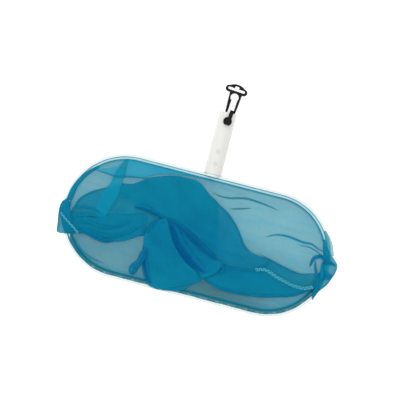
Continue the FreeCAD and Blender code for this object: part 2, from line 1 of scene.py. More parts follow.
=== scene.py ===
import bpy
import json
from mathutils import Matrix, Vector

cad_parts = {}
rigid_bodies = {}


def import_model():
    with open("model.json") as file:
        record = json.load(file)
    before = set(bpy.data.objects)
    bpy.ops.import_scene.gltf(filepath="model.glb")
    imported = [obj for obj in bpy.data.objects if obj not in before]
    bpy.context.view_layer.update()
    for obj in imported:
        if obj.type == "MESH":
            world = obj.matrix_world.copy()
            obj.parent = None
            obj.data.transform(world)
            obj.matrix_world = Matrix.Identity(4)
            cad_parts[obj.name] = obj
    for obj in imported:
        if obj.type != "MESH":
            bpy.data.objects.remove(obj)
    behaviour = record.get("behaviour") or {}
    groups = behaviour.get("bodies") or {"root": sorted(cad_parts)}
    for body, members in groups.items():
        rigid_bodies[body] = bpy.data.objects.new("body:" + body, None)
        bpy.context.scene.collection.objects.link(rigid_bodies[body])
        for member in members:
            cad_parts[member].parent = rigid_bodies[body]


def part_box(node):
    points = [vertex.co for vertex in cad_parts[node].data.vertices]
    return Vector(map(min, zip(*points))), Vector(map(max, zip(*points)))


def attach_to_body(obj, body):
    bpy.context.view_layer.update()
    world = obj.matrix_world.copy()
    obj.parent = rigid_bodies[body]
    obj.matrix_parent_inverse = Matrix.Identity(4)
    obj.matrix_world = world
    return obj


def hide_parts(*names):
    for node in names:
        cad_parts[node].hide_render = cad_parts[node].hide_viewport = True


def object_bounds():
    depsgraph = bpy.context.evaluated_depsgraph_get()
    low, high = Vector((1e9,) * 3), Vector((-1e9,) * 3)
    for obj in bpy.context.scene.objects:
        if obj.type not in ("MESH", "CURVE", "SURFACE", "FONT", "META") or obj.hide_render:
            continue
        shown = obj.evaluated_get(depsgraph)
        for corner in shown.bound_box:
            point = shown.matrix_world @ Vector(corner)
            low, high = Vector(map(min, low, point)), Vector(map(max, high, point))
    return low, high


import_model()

"""Pool leaf skimmer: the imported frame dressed, with its mesh net, hem and seams modelled over it."""

import json
import logging
import math
from dataclasses import dataclass, field
from enum import Enum
from typing import Sequence

import bpy
import numpy as np

CAD_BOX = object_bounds()
MM = 0.001
LOG = logging.getLogger("skimmer")

Array = np.ndarray
Points = Sequence[tuple[float, ...]]


# --------------------------------------------------------------------------- materials

def linear(hex_colour: str) -> tuple[float, float, float, float]:
    """Turn an sRGB hex colour to linear light.

    Args:
        hex_colour: six hex digits.

    Returns:
        Red, green, blue and an alpha of one.
    """
    parts = [int(hex_colour[k:k + 2], 16) / 255 for k in (0, 2, 4)]
    red, green, blue = [c / 12.92 if c <= 0.04045 else ((c + 0.055) / 1.055) ** 2.4 for c in parts]
    return red, green, blue, 1.0


Socket = bpy.types.NodeSocket


def node(tree: bpy.types.NodeTree, kind: str, inputs: dict | None = None, settings: dict | None = None,
         out: str | int = 0) -> Socket | None:
    """Add a node with its settings, and give its inputs values or links.

    Args:
        tree: the node tree that takes it.
        kind: the end of the node's type name, after "ShaderNode".
        inputs: socket name or number to a value, or to an output socket to link from.
        settings: properties of the node.
        out: the name or number of the output that is wanted.

    Returns:
        That output, or nothing where the node has none.
    """
    made = tree.nodes.new("ShaderNode" + kind)
    for name, value in (settings or {}).items():
        setattr(made, name, value)
    for key, value in (inputs or {}).items():
        if isinstance(value, Socket):
            tree.links.new(value, made.inputs[key])
        else:
            made.inputs[key].default_value = value
    return made.outputs[out] if made.outputs else None


def blend(tree: bpy.types.NodeTree, share: Socket, first: Socket | str, second: str) -> Socket:
    """Mix two colours.

    Args:
        tree: the node tree.
        share: how much of the second there is.
        first: a hex, or an output that carries a colour.
        second: a hex.

    Returns:
        The mixed colour.
    """
    start = linear(first) if isinstance(first, str) else first
    return node(tree, "Mix", {0: share, 6: start, 7: linear(second)}, {"data_type": "RGBA"}, 2)


def spread(tree: bpy.types.NodeTree, value: Socket, start: tuple[float, float],
           end: tuple[float | Socket, float | Socket]) -> Socket:
    """Carry a value from one range to another, held at its ends.

    Args:
        tree: the node tree.
        value: what is carried.
        start: the range that it comes from.
        end: the range that it goes to.

    Returns:
        The carried value.
    """
    return node(tree, "MapRange", {0: value, 1: start[0], 2: start[1], 3: end[0], 4: end[1]})


def noise(tree: bpy.types.NodeTree, where: Socket, size_mm: float, detail: float) -> Socket:
    """Add soft noise whose patches are of a given size."""
    return node(tree, "TexNoise", {"Vector": where, "Scale": 1 / (size_mm * MM), "Detail": detail})


def empty_material(name: str) -> tuple[bpy.types.Material, bpy.types.NodeTree]:
    """Make a material with no nodes.

    Args:
        name: the material's name.

    Returns:
        The material and its tree.
    """
    material = bpy.data.materials.new(name)
    material.use_nodes = True
    material.node_tree.nodes.clear()
    return material, material.node_tree


@dataclass(frozen=True)
class MouldedPlastic:
    """A plastic moulding or extrusion: faint mottle in its colour, fine grain or flow lines in its skin.

    The mottle is a few per cent, over centimetres, and the grain is under a tenth of a millimetre deep.
    """

    name: str
    colour: str
    shade: str
    roughness: float
    specular: float = 0.5
    mottle_mm: float = 24.0
    grain_mm: float = 1.2
    grain_depth_mm: float = 0.05
    stretch: tuple[float, float, float] = (1.0, 1.0, 1.0)
    coat: float = 0.0

    def build(self) -> bpy.types.Material:
        """Make the material."""
        material, tree = empty_material(self.name)
        place = node(tree, "TexCoord", out="Object")
        drawn = node(tree, "Mapping", {"Vector": place, "Scale": self.stretch})
        mottle = noise(tree, drawn, self.mottle_mm, 3.0)
        grain = noise(tree, drawn, self.grain_mm, 4.0)
        bump = node(tree, "Bump", {"Height": grain, "Distance": self.grain_depth_mm * MM, "Strength": 0.35})
        rough = spread(tree, mottle, (0.0, 1.0), (self.roughness - 0.05, self.roughness + 0.05))
        shader = node(tree, "BsdfPrincipled", {
            "Base Color": blend(tree, mottle, self.colour, self.shade), "Roughness": rough,
            "Normal": bump, "IOR": 1.49, "Specular IOR Level": self.specular,
            "Coat Weight": self.coat})
        node(tree, "OutputMaterial", {"Surface": shader})
        return material


@dataclass(frozen=True)
class KnittedMesh:
    """Fine warp-knitted nylon netting: see-through where it is one layer, saturated where it lies in folds.

    Its yarn runs in streaks along the cloth where it has been drawn together. The attribute "gather" is
    -0.4 where the net is drawn wide, 0 where it lies flat, and 1 where it is gathered or seen edge on, so
    that its holes close and its colour deepens; that deeper colour is partly painted shade, where the gather
    is raised along crease hearts and towards the near side. The attribute "painted_shade_and_lap" is 0 where
    the holes show the plain hole tint, 1 where painted shade dims the holes and darkens the yarn, and down
    to -1 where a loose lap of bright yarn lies across them.
    """

    name: str = "knitted_nylon_net"
    colour: str = "18D0FF"
    glow: str = "50E8FF"
    # The colour that gathered yarn deepens to: partly denser yarn, partly painted shade in creases and
    # towards the near side.
    deep: str = "00649C"
    # The yarn's colour under painted shade.
    shaded: str = "008096"
    hole_pitch_mm: float = 0.9
    open_cover: float = 0.39
    knit_swing: float = 0.12
    lap_cover: float = 0.9
    through: float = 0.42
    # The holes' tint, which dims and warms what shows through them and the light falling through them:
    # painted shade of the floor below the net.
    clear: str = "DAB488"
    # The holes' tint under painted shade.
    dim: str = "A89A84"

    def build(self) -> bpy.types.Material:
        """Make the material."""
        material, tree = empty_material(self.name)
        cloth = node(tree, "UVMap", settings={"uv_map": "cloth"})
        gather = node(tree, "Attribute", settings={"attribute_name": "gather"}, out="Fac")
        painted_shade_and_lap = node(tree, "Attribute", settings={"attribute_name": "painted_shade_and_lap"}, out="Fac")
        wander = noise(tree, cloth, 38, 3.0)
        drawn = node(tree, "Mapping", {"Vector": cloth, "Scale": (1 / (90 * MM), 1 / (4.5 * MM), 1.0)})
        streak = node(tree, "TexNoise", {"Vector": drawn, "Scale": 1.0, "Detail": 4.0, "Distortion": 0.4})
        knit = node(tree, "TexVoronoi", {
            "Vector": cloth, "Scale": 1 / (self.hole_pitch_mm * MM), "Randomness": 0.12},
            {"voronoi_dimensions": "2D", "feature": "F1"})
        open_knit = spread(tree, knit, (0.2, 0.6), (
            self.open_cover - self.knit_swing, self.open_cover + self.knit_swing))
        lines = spread(tree, streak, (0.3, 0.72), (-0.13, 0.21))
        gathered = node(tree, "Math", {0: gather, 1: lines}, {"operation": "ADD"})
        cover = spread(tree, gathered, (-0.4, 1.0), (open_knit, 0.985))
        lap = spread(tree, painted_shade_and_lap, (-1.0, 0.0), (1.0, 0.0))
        lapped = node(tree, "Mix", {0: lap, 2: cover, 3: self.lap_cover}, {"data_type": "FLOAT"})
        tone = spread(tree, wander, (0.3, 0.7), (-0.10, 0.10))
        darker = node(tree, "Math", {0: gathered, 1: tone}, {"operation": "ADD"})
        depth = spread(tree, darker, (-0.4, 0.9), (0.0, 1.0))
        tint = blend(tree, depth, self.colour, self.deep)
        weave = node(tree, "Bump", {"Height": knit, "Distance": 0.12 * MM, "Strength": 0.3})
        # Painted shade: where painted_shade_and_lap is above 0, the yarn's face and back turn to the shaded
        # colour and the holes' tint to the dim one.
        face = node(tree, "BsdfPrincipled", {
            "Base Color": blend(tree, painted_shade_and_lap, tint, self.shaded), "Roughness": 0.75,
            "Specular IOR Level": 0.06, "Normal": weave})
        back = node(tree, "BsdfTranslucent", {"Color": blend(tree, painted_shade_and_lap, self.glow, self.shaded)})
        yarn = node(tree, "MixShader", {0: self.through, 1: face, 2: back})
        gap = node(tree, "BsdfTransparent", {"Color": blend(tree, painted_shade_and_lap, self.clear, self.dim)})
        net = node(tree, "MixShader", {0: lapped, 1: gap, 2: yarn})
        node(tree, "OutputMaterial", {"Surface": net})
        return material


@dataclass(frozen=True)
class SpunThread:
    """Twisted polyester thread: matt, paler than the net, with painted light and shade in bands along its
    twist.
    """

    name: str = "overlock_thread"
    colour: str = "74DAE4"
    shade: str = "34AEC3"
    twist_mm: float = 0.8

    def build(self) -> bpy.types.Material:
        """Make the material."""
        material, tree = empty_material(self.name)
        along = node(tree, "UVMap", settings={"uv_map": "cloth"})
        twist = node(tree, "TexWave", {
            "Vector": along, "Scale": 0.3 / (self.twist_mm * MM), "Distortion": 1.0},
            {"bands_direction": "DIAGONAL"}, "Fac")
        shader = node(tree, "BsdfPrincipled", {
            "Base Color": blend(tree, twist, self.colour, self.shade), "Roughness": 0.85,
            "Specular IOR Level": 0.2})
        node(tree, "OutputMaterial", {"Surface": shader})
        return material


class Stock(Enum):
    """The finishes that the skimmer is made from."""

    # Painted reflection: the rim's white is tinted pale cyan, as if it reflected the net.
    RIM = MouldedPlastic("moulded_polypropylene_rim", "E2EFF0", "DAE9EB", 0.34, coat=0.15)
    TUBE = MouldedPlastic("extruded_tube", "E6E7E2", "DCDDD7", 0.42, stretch=(1.0, 0.12, 1.0), grain_mm=0.8)
    BEAD = MouldedPlastic("soft_vinyl_bead", "B4E0E7", "9AD3DD", 0.40, grain_mm=3.0)
    BLACK = MouldedPlastic("black_polypropylene", "040405", "0A0A0B", 0.42, specular=0.18)
    CLIP = MouldedPlastic("acetal_clip", "08080A", "0E0E10", 0.34, specular=0.25)
    STEEL = MouldedPlastic("white_lacquered_screw", "E4E4E0", "DADAD6", 0.35, grain_mm=0.5, mottle_mm=3.0)
    NET = KnittedMesh()
    THREAD = SpunThread()

    def material(self) -> bpy.types.Material:
        """Return the one material of this finish, made on first use."""
        found = bpy.data.materials.get(self.value.name)
        return found or self.value.build()


# --------------------------------------------------------------------------- surfaces

STILL_MIDDLE = 1e-6  # least step in millimetres, for edges that pivot about a middle that stays put


def through(points: Points, count: int) -> Array:
    """Carry a smooth line through points, one equal share of the count to each gap.

    Each gap is the cubic p = a + b f + c f^2 + d f^3 that leaves and meets the points along the
    line between their neighbours.

    Args:
        points: the points in order, each of any one dimension.
        count: how many samples to take.

    Returns:
        An array of count rows.
    """
    base = np.asarray(points, float)
    padded = np.vstack([2 * base[0] - base[1], base, 2 * base[-1] - base[-2]])
    place = np.linspace(0, len(base) - 1 - 1e-9, count)
    index = place.astype(int)
    f = (place - index)[:, None]
    p0, p1, p2, p3 = (padded[index + k] for k in range(4))
    return p1 + 0.5 * f * (p2 - p0 + f * (2 * p0 - 5 * p1 + 4 * p2 - p3 + f * (3 * (p1 - p2) + p3 - p0)))


def evenly(line: Array, count: int, middle: Array | None = None) -> Array:
    """Take samples at equal distances along a line.

    Args:
        line: rows of numbers, one row to each point along it.
        count: how many samples to take.
        middle: the points whose distances count, the line's own if none are given.

    Returns:
        An array of count rows.
    """
    steps = np.linalg.norm(np.diff(line if middle is None else middle, axis=0), axis=1)
    if middle is not None:
        steps += STILL_MIDDLE
    place = np.r_[0, np.cumsum(steps)]
    wanted = np.linspace(0, place[-1], count)
    return np.stack([np.interp(wanted, place, column) for column in line.T], axis=1)


def across_line(line: Array) -> Array:
    """Unit vectors in plan, square to a line and to its left."""
    along = np.gradient(line, axis=0)
    side = np.stack([-along[:, 1], along[:, 0]], axis=1)
    return side / np.linalg.norm(side, axis=1, keepdims=True)


@dataclass
class Surface:
    """A grid of points in metres, with the cloth's own coordinates and how gathered it is at each.

    Fields:
        points: rows by columns by three.
        cloth: rows by columns by two, distances along the cloth in metres.
        gather: rows by columns, from -0.4 drawn wide to 1 gathered.
        painted_shade_and_lap: rows by columns, 1 where painted shade dims its holes and darkens its yarn,
            and -1 in a loose lap.
        closed: whether the last column joins the first.
        turned: whether the corners run the other way round, so that the faces point outwards.
    """

    points: Array
    cloth: Array
    gather: Array
    painted_shade_and_lap: Array
    closed: bool = False
    turned: bool = field(init=False, default=False)

    @classmethod
    def of_net(cls, points: Array, gather: Array | float, painted_shade_and_lap: Array | float = 0.0, closed: bool = False,
               cloth: Array | None = None) -> "Surface":
        """Make a surface of net, denser where it stands steep.

        A net seen at a slope has 1 / n_z times the yarn in the same view, n_z being the upward part of
        its normal. The gather gains 0.16 (1 / n_z - 1), up to 0.6.

        Args:
            points: rows by columns by three.
            gather: how gathered it is before the slope counts.
            painted_shade_and_lap: how much painted shade dims its holes and darkens its yarn; below 0, how
                much a loose lap closes them.
            closed: whether the last column joins the first.
            cloth: the cloth coordinates, measured from the points if none are given.

        Returns:
            The surface.
        """
        down = np.gradient(points, axis=0)
        if closed:
            across = 0.5 * (np.roll(points, -1, axis=1) - np.roll(points, 1, axis=1))
        else:
            across = np.gradient(points, axis=1)
        normal = np.cross(down, across)
        upward = np.abs(normal[..., 2]) / np.maximum(np.linalg.norm(normal, axis=2), 1e-15)
        slope = np.clip(0.16 * (1 / np.maximum(upward, 0.1) - 1), 0, 0.6)
        shape = points.shape[:2]
        dense = np.clip(np.broadcast_to(gather, shape) + slope, -0.4, 1)
        return cls(points, cloth_lengths(points) if cloth is None else cloth, dense,
                   np.array(np.broadcast_to(painted_shade_and_lap, shape), float), closed)

    def __post_init__(self) -> None:
        """Find whether the corners must run the other way round for the faces to point outwards.

        A sheet faces up, so the sum of its faces' area vectors does. A loop's sum is near nothing, and
        there the sum of each face's place from the middle, times its area vector, is positive.
        """
        p = self.wrapped(self.points, self.points[:, :1])
        area = 0.5 * np.cross(p[1:, 1:] - p[:-1, :-1], p[1:, :-1] - p[:-1, 1:]).reshape(-1, 3)
        middle = 0.25 * (p[1:, 1:] + p[:-1, :-1] + p[1:, :-1] + p[:-1, 1:]).reshape(-1, 3)
        total = area.sum(axis=0)[2]
        is_sheet = abs(total) > 0.2 * np.linalg.norm(area, axis=1).sum()
        volume = ((middle - middle.mean(axis=0)) * area).sum()
        self.turned = bool((total if is_sheet else volume) < 0)

    def around(self, grid: Array) -> list[Array]:
        """Take the four corners of each face of a grid, in the order that points the face outwards.

        Args:
            grid: rows by columns of anything, with the first column repeated where the grid is closed.

        Returns:
            Four arrays, one for each corner.
        """
        corners = [grid[:-1, :-1], grid[:-1, 1:], grid[1:, 1:], grid[1:, :-1]]
        return corners[::-1] if self.turned else corners

    def wrapped(self, grid: Array, last: Array) -> Array:
        """Add the column that closes a grid, where it is closed."""
        return np.concatenate([grid, last], axis=1) if self.closed else grid

    def faces(self, start: int) -> Array:
        """Number the grid's four-sided faces.

        Args:
            start: the number of the grid's first point in the whole mesh.

        Returns:
            Faces by four corner numbers.
        """
        rows, columns = self.gather.shape
        number = start + np.arange(rows * columns).reshape(rows, columns)
        return np.stack(self.around(self.wrapped(number, number[:, :1])), axis=-1).reshape(-1, 4)

    def corner_cloth(self) -> Array:
        """Give each corner of each face its cloth coordinates."""
        after = 2 * self.cloth[:, -1:] - self.cloth[:, -2:-1]
        return np.stack(self.around(self.wrapped(self.cloth, after)), axis=2).reshape(-1, 2)


def cloth_lengths(points: Array) -> Array:
    """Measure how far each point of a grid lies along the cloth both ways.

    The first coordinate is the mean distance along the rows, the second along each row's columns.

    Args:
        points: rows by columns by three.

    Returns:
        Rows by columns by two, in metres.
    """
    down = np.r_[0, np.cumsum(np.linalg.norm(np.diff(points, axis=0), axis=2).mean(axis=1))]
    steps = np.linalg.norm(np.diff(points, axis=1), axis=2)
    across = np.concatenate([np.zeros((len(points), 1)), np.cumsum(steps, axis=1)], axis=1)
    return np.stack([np.broadcast_to(down[:, None], across.shape), across], axis=-1)


def make_piece(name: str, surfaces: Sequence[Surface], stock: Stock) -> bpy.types.Object:
    """Put grids into one mesh object at the origin.

    Args:
        name: the piece's name.
        surfaces: the grids.
        stock: its finish.

    Returns:
        The object, linked to the scene.
    """
    starts = np.r_[0, np.cumsum([s.gather.size for s in surfaces])]
    points = np.concatenate([s.points.reshape(-1, 3) for s in surfaces])
    faces = np.concatenate([s.faces(int(a)) for s, a in zip(surfaces, starts)])
    mesh = bpy.data.meshes.new(name)
    mesh.vertices.add(len(points))
    mesh.vertices.foreach_set("co", points.ravel())
    mesh.loops.add(faces.size)
    mesh.loops.foreach_set("vertex_index", faces.ravel())
    mesh.polygons.add(len(faces))
    mesh.polygons.foreach_set("loop_start", np.arange(len(faces)) * 4)
    mesh.polygons.foreach_set("use_smooth", np.full(len(faces), True))
    mesh.update(calc_edges=True)
    layer = mesh.uv_layers.new(name="cloth")
    layer.data.foreach_set("uv", np.concatenate([s.corner_cloth() for s in surfaces]).ravel())
    for kind in ("gather", "painted_shade_and_lap"):
        values = mesh.attributes.new(kind, "FLOAT", "POINT")
        values.data.foreach_set("value", np.concatenate([getattr(s, kind).ravel() for s in surfaces]))
    mesh.validate()
    mesh.materials.append(stock.material())
    return add_object(name, mesh)


def add_object(name: str, data: bpy.types.ID) -> bpy.types.Object:
    """Make an object of some data and link it to the scene."""
    made = bpy.data.objects.new(name, data)
    bpy.context.scene.collection.objects.link(made)
    return made


def lifted(plan: Array, level: Array) -> Array:
    """Join plan positions and heights in millimetres to points in metres."""
    return np.concatenate([plan, np.broadcast_to(level, plan.shape[:-1])[..., None]], axis=-1) * MM


def stand_for(piece: bpy.types.Object, cad_node: str) -> None:
    """Fix a piece to the skimmer's body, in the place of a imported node.

    Args:
        piece: the piece.
        cad_node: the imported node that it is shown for.
    """
    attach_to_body(piece, "skimmer")
    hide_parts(cad_node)
    LOG.info("%s: %d faces, for %s", piece.name, len(piece.data.polygons), cad_node)


def tube(path: Array, radius: float, sides: int = 6) -> Surface:
    """Carry a circle along a path.

    The circle's two axes are the level one square to the path and the one square to both.

    Args:
        path: points along the middle, in metres.
        radius: the circle's radius in metres.
        sides: points round the circle.

    Returns:
        The closed grid, its ends drawn in to points.
    """
    along = np.gradient(path, axis=0)
    along /= np.linalg.norm(along, axis=1, keepdims=True)
    level = np.cross(along, (0.0, 0.0, 1.0))
    level /= np.maximum(np.linalg.norm(level, axis=1, keepdims=True), 1e-9)
    upward = np.cross(level, along)
    turn = np.linspace(0, 2 * math.pi, sides, endpoint=False)
    size = np.full(len(path), radius)
    size[[0, -1]] = radius * 0.02
    ring = level[:, None] * np.cos(turn)[None, :, None] + upward[:, None] * np.sin(turn)[None, :, None]
    points = path[:, None] + ring * size[:, None, None]
    flat = np.zeros(points.shape[:2])
    return Surface(points, cloth_lengths(points), flat, flat, closed=True)


# --------------------------------------------------------------------------- hoop geometry

RIM_PAST_BEAD = 4.9  # from the bead's outer side to the rim's, in millimetres
RIM_OVER_BEAD = 0.4  # from the bead's top to the rim's, in millimetres


@dataclass(frozen=True)
class HoopPlan:
    """The rim's plan and levels, in millimetres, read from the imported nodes.

    Fields:
        radius: the outer radius of the rim's round ends.
        centre_y: the middle of the hoop.
        straight: half the length of its straights.
        top: the rim's top face.
        groove_in: the radius of the hem groove's inner wall.
        bead_path: the radius of the bead's middle line.
    """

    radius: float
    centre_y: float
    straight: float
    top: float
    groove_in: float = 90.4
    bead_path: float = 92.9

    @classmethod
    def read(cls) -> "HoopPlan":
        """Take the hoop's size from the bead's node."""
        low, high = (np.array(corner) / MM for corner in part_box("net_spline"))
        reach = (high[0] - low[0]) / 2
        half_width = (high[1] - low[1]) / 2
        return cls(radius=half_width + RIM_PAST_BEAD, centre_y=(high[1] + low[1]) / 2,
                   straight=reach - half_width, top=high[2] + RIM_OVER_BEAD)

    def ring(self, turn: Array, radius: Array | float) -> Array:
        """Walk round the stadium at a distance from its middle segment.

        A walk of the whole outline is 0 to 1, from the right end of the far straight, leftwards.

        Args:
            turn: places round the outline.
            radius: distance from the segment in millimetres.

        Returns:
            Plan positions in row millimetres.
        """
        half = self.straight
        arc = math.pi * self.bead_path
        total = 4 * half + 2 * arc
        along = np.mod(turn, 1.0) * total
        edges = np.array([0, 2 * half, 2 * half + arc, 4 * half + arc, total])
        part = np.clip(np.searchsorted(edges, along, side="right") - 1, 0, 3)
        local = along - edges[part]
        out, up = radius * np.sin(local / self.bead_path), radius * np.cos(local / self.bead_path)
        x = np.choose(part, [half - local, -half - out, local - half, half + out])
        y = np.choose(part, [radius + 0 * local, up, -radius + 0 * local, -up])
        return np.stack([x, y + self.centre_y], axis=-1)

    def distance(self, x: Array, y: Array) -> Array:
        """Distance of plan points from the hoop's middle segment, in millimetres."""
        return np.hypot(np.maximum(np.abs(x) - self.straight, 0), y - self.centre_y)


# --------------------------------------------------------------------------- net

CLOTH_GAP = 0.25  # how far cloth lies above what is below it, in millimetres
ROLL_WIDTH = 1.8  # how wide the cloth rolls over at a fold's edge, in millimetres
HEART_SHARE = 0.22  # how wide a fold's heart is, as a share of the fold


def ripple(x: Array, y: Array, angle: float, wave: float, seed: float) -> Array:
    """A soft field of ripples from 0 to 1: a bent sine across one direction, faded in patches.

    Args:
        x, y: plan positions in millimetres.
        angle: direction square to the crests, in degrees.
        wave: distance between crests in millimetres.
        seed: shifts the pattern.

    Returns:
        The height at each position.
    """
    c, s = math.cos(math.radians(angle)), math.sin(math.radians(angle))
    across = x * c + y * s
    along = y * c - x * s
    bend = 0.5 * wave * np.sin(along / (3.1 * wave) + seed) + 0.2 * wave * np.sin(along / wave + 2 * seed)
    crest = 0.5 + 0.5 * np.sin(2 * math.pi * (across + bend) / wave + 5 * seed)
    patch = 0.5 + 0.5 * np.sin(across / (2.3 * wave) + 3 * seed) * np.sin(along / (2.9 * wave) + 7 * seed)
    return crest ** 1.6 * (0.35 + 0.65 * patch)


@dataclass
class Relief:
    """A height map of what lies below the next fold, in row millimetres."""

    hoop: HoopPlan
    step: float = 2.0
    left: float = -244.0
    low: float = -218.0
    columns: int = 246
    rows: int = 122
    height: Array = field(init=False)

    def __post_init__(self) -> None:
        """Start from the rim's top and the fall of cloth outside it."""
        x, y = self.positions()
        apart = self.hoop.distance(x, y)
        fall = np.maximum(apart - self.hoop.radius + 1.5, 0)
        self.height = self.hoop.top + 0.15 - 0.055 * fall ** 2

    def positions(self) -> tuple[Array, Array]:
        """Plan positions of the map's cells."""
        x = self.left + self.step * np.arange(self.columns)
        y = self.low + self.step * np.arange(self.rows)
        return np.meshgrid(x, y)

    def at(self, field_map: Array, x: Array, y: Array) -> Array:
        """Read a map between its cells.

        Args:
            field_map: rows by columns.
            x, y: plan positions in millimetres.

        Returns:
            The value at each position, mixed from its four cells.
        """
        u = np.clip((x - self.left) / self.step, 0, self.columns - 1.001)
        v = np.clip((y - self.low) / self.step, 0, self.rows - 1.001)
        i, j = u.astype(int), v.astype(int)
        f, g = u - i, v - j
        low = field_map[j, i] * (1 - f) + field_map[j, i + 1] * f
        high = field_map[j + 1, i] * (1 - f) + field_map[j + 1, i + 1] * f
        return low * (1 - g) + high * g

    def softened(self, reach: int) -> Array:
        """Smooth the map as stiff cloth would bridge its steps.

        The map is widened by one cell, then blurred by a bell of the given reach in both directions.
        """
        wide = self.height.copy()
        for axis in (0, 1):
            for shift in (1, -1):
                wide = np.maximum(wide, np.roll(self.height, shift, axis))
        offsets = np.arange(-reach, reach + 1)
        bell = np.exp(-0.5 * (offsets / (0.5 * reach)) ** 2)
        bell /= bell.sum()
        for axis in (0, 1):
            padded = np.pad(wide, [(reach, reach) if k == axis else (0, 0) for k in (0, 1)], mode="edge")
            size = wide.shape[axis]
            wide = sum(w * np.take(padded, np.arange(size) + k, axis) for k, w in enumerate(bell))
        return wide

    def raise_to(self, x: Array, y: Array, z: Array) -> None:
        """Lift the map to the tops of a new fold.

        Args:
            x, y: plan positions in millimetres, closer together than the cells.
            z: the fold's top at each.
        """
        i = np.clip(np.rint((x - self.left) / self.step).astype(int), 0, self.columns - 1)
        j = np.clip(np.rint((y - self.low) / self.step).astype(int), 0, self.rows - 1)
        np.maximum.at(self.height, (j.ravel(), i.ravel()), z.ravel())


@dataclass(frozen=True)
class Fold:
    """One flattened fold of the net: a closed loop of cloth that runs between two edges.

    Fields:
        name: what the fold is.
        edges: stations along it, each (x, y, x, y): its two edges in millimetres from the hoop's middle.
        puff: how far its two layers stand apart, in millimetres.
        ruffle: the height of its ripples, in millimetres.
        wave: the ripples' spacing, in millimetres.
        angle: the ripples' direction, in degrees.
        gather: how tightly it is gathered.
        painted_shade_and_lap: how much painted shade dims its holes and darkens its yarn; below 0, how much
            a loose lap closes them.
        rolled: how much its gather gains where the cloth rolls over at its edges.
        heart: how much its gather gains along a line inside it.
        heart_at: where that line runs, 0 at its second edge and 1 at its first.
        single: whether it is one layer, lapped over, and not a loop of two.
    """

    name: str
    edges: Points
    puff: float = 1.6
    ruffle: float = 0.8
    wave: float = 26.0
    angle: float = 70.0
    gather: float = 0.0
    painted_shade_and_lap: float = 0.0
    rolled: float = 0.24
    heart: float = 0.0
    heart_at: float = 0.5
    single: bool = False

    def build(self, relief: Relief) -> Surface:
        """Lay the fold on what is below it.

        With t along the fold and q round its section, the plan position is
        low(t) + (high(t) - low(t)) (1 - cos q) / 2 and the height is the relief plus
        puff (1 + sgn(sin q) |sin q|^0.45) / 2, so the section is a flat loop with round edges. A single
        layer has the loop's upper half alone.

        Args:
            relief: the heights below, which the fold then raises.

        Returns:
            The fold's grid, closed unless it is single.
        """
        stations = np.asarray(self.edges, float)
        middle = 0.5 * (stations[:, :2] + stations[:, 2:])
        length = np.linalg.norm(np.diff(middle, axis=0), axis=1).sum()
        breadth = np.linalg.norm(stations[:, :2] - stations[:, 2:], axis=1).max()
        rows = int(np.clip(length / 1.95, 14, 240))
        half = int(np.clip(breadth / 2.1, 5, 52))
        fine = through(self.edges, 6 * rows)
        high, low = np.split(evenly(fine, rows, 0.5 * (fine[:, :2] + fine[:, 2:])), 2, axis=1)
        if self.single:
            q = np.linspace(0, math.pi, half)
        else:
            q = np.linspace(0, 2 * math.pi, 2 * half, endpoint=False)
        share = 0.5 - 0.5 * np.cos(q)
        plan = low[:, None] + (high - low)[:, None] * share[None, :, None]
        x, y = plan[..., 0], plan[..., 1] + relief.hoop.centre_y
        seed = float(sum(map(ord, self.name)) % 17)
        soft = relief.softened(3)
        ground = relief.at(soft, x, y)
        ripples = self.ruffle * ripple(x, y, self.angle, self.wave, seed)
        ripples += 0.25 * self.ruffle * ripple(x, y, self.angle + 50, 0.42 * self.wave, seed + 2)
        closing = np.minimum(1, np.sin(np.linspace(0, math.pi, rows)) * 4 + 0.15)[:, None]
        side = np.sin(q)[None, :]
        loop = 0.5 + 0.5 * np.sign(side) * np.abs(side) ** 0.45
        upper = np.clip(side * 2.5, 0, 1)
        z = ground + CLOTH_GAP + self.puff * closing * loop
        z += ripples * (0.35 + 0.65 * upper) * np.abs(side) ** 0.3
        points = np.stack([x, y, z], axis=-1) * MM
        f = np.linspace(0, 1, max(int(breadth / 0.9), 4))[None, :, None]
        filled = low[:, None] * (1 - f) + high[:, None] * f
        dense = np.repeat(filled, 2, axis=0)
        dense[1:-1:2] = 0.5 * (filled[:-1] + filled[1:])
        fx, fy = dense[..., 0], dense[..., 1] + relief.hoop.centre_y
        top = relief.at(soft, fx, fy) + CLOTH_GAP + self.puff
        top += self.ruffle * ripple(fx, fy, self.angle, self.wave, seed)
        relief.raise_to(fx, fy, top)
        from_edge = np.minimum(share, 1 - share)[None, :] * np.linalg.norm(high - low, axis=1)[:, None]
        gather = self.gather + self.rolled * np.exp(-(from_edge / ROLL_WIDTH) ** 2)
        heart = np.exp(-((share[None, :] - self.heart_at) / HEART_SHARE) ** 2)
        gather += self.heart * heart * closing + bunching(x, y - relief.hoop.centre_y)
        return Surface.of_net(points, gather, self.painted_shade_and_lap, closed=not self.single)


def bunching(x: Array, y: Array) -> Array:
    """How much more gathered the folds are towards the bag's middle, where its depth lies in hidden pleats.

    A bell over the plan, 0.42 at its top, 115 mm wide along the hoop and 60 mm across it.

    Args:
        x, y: plan positions in millimetres from the hoop's middle.

    Returns:
        The gain at each position.
    """
    return 0.42 * np.exp(-((x - 10) / 115) ** 2 - ((y + 15) / 60) ** 2)


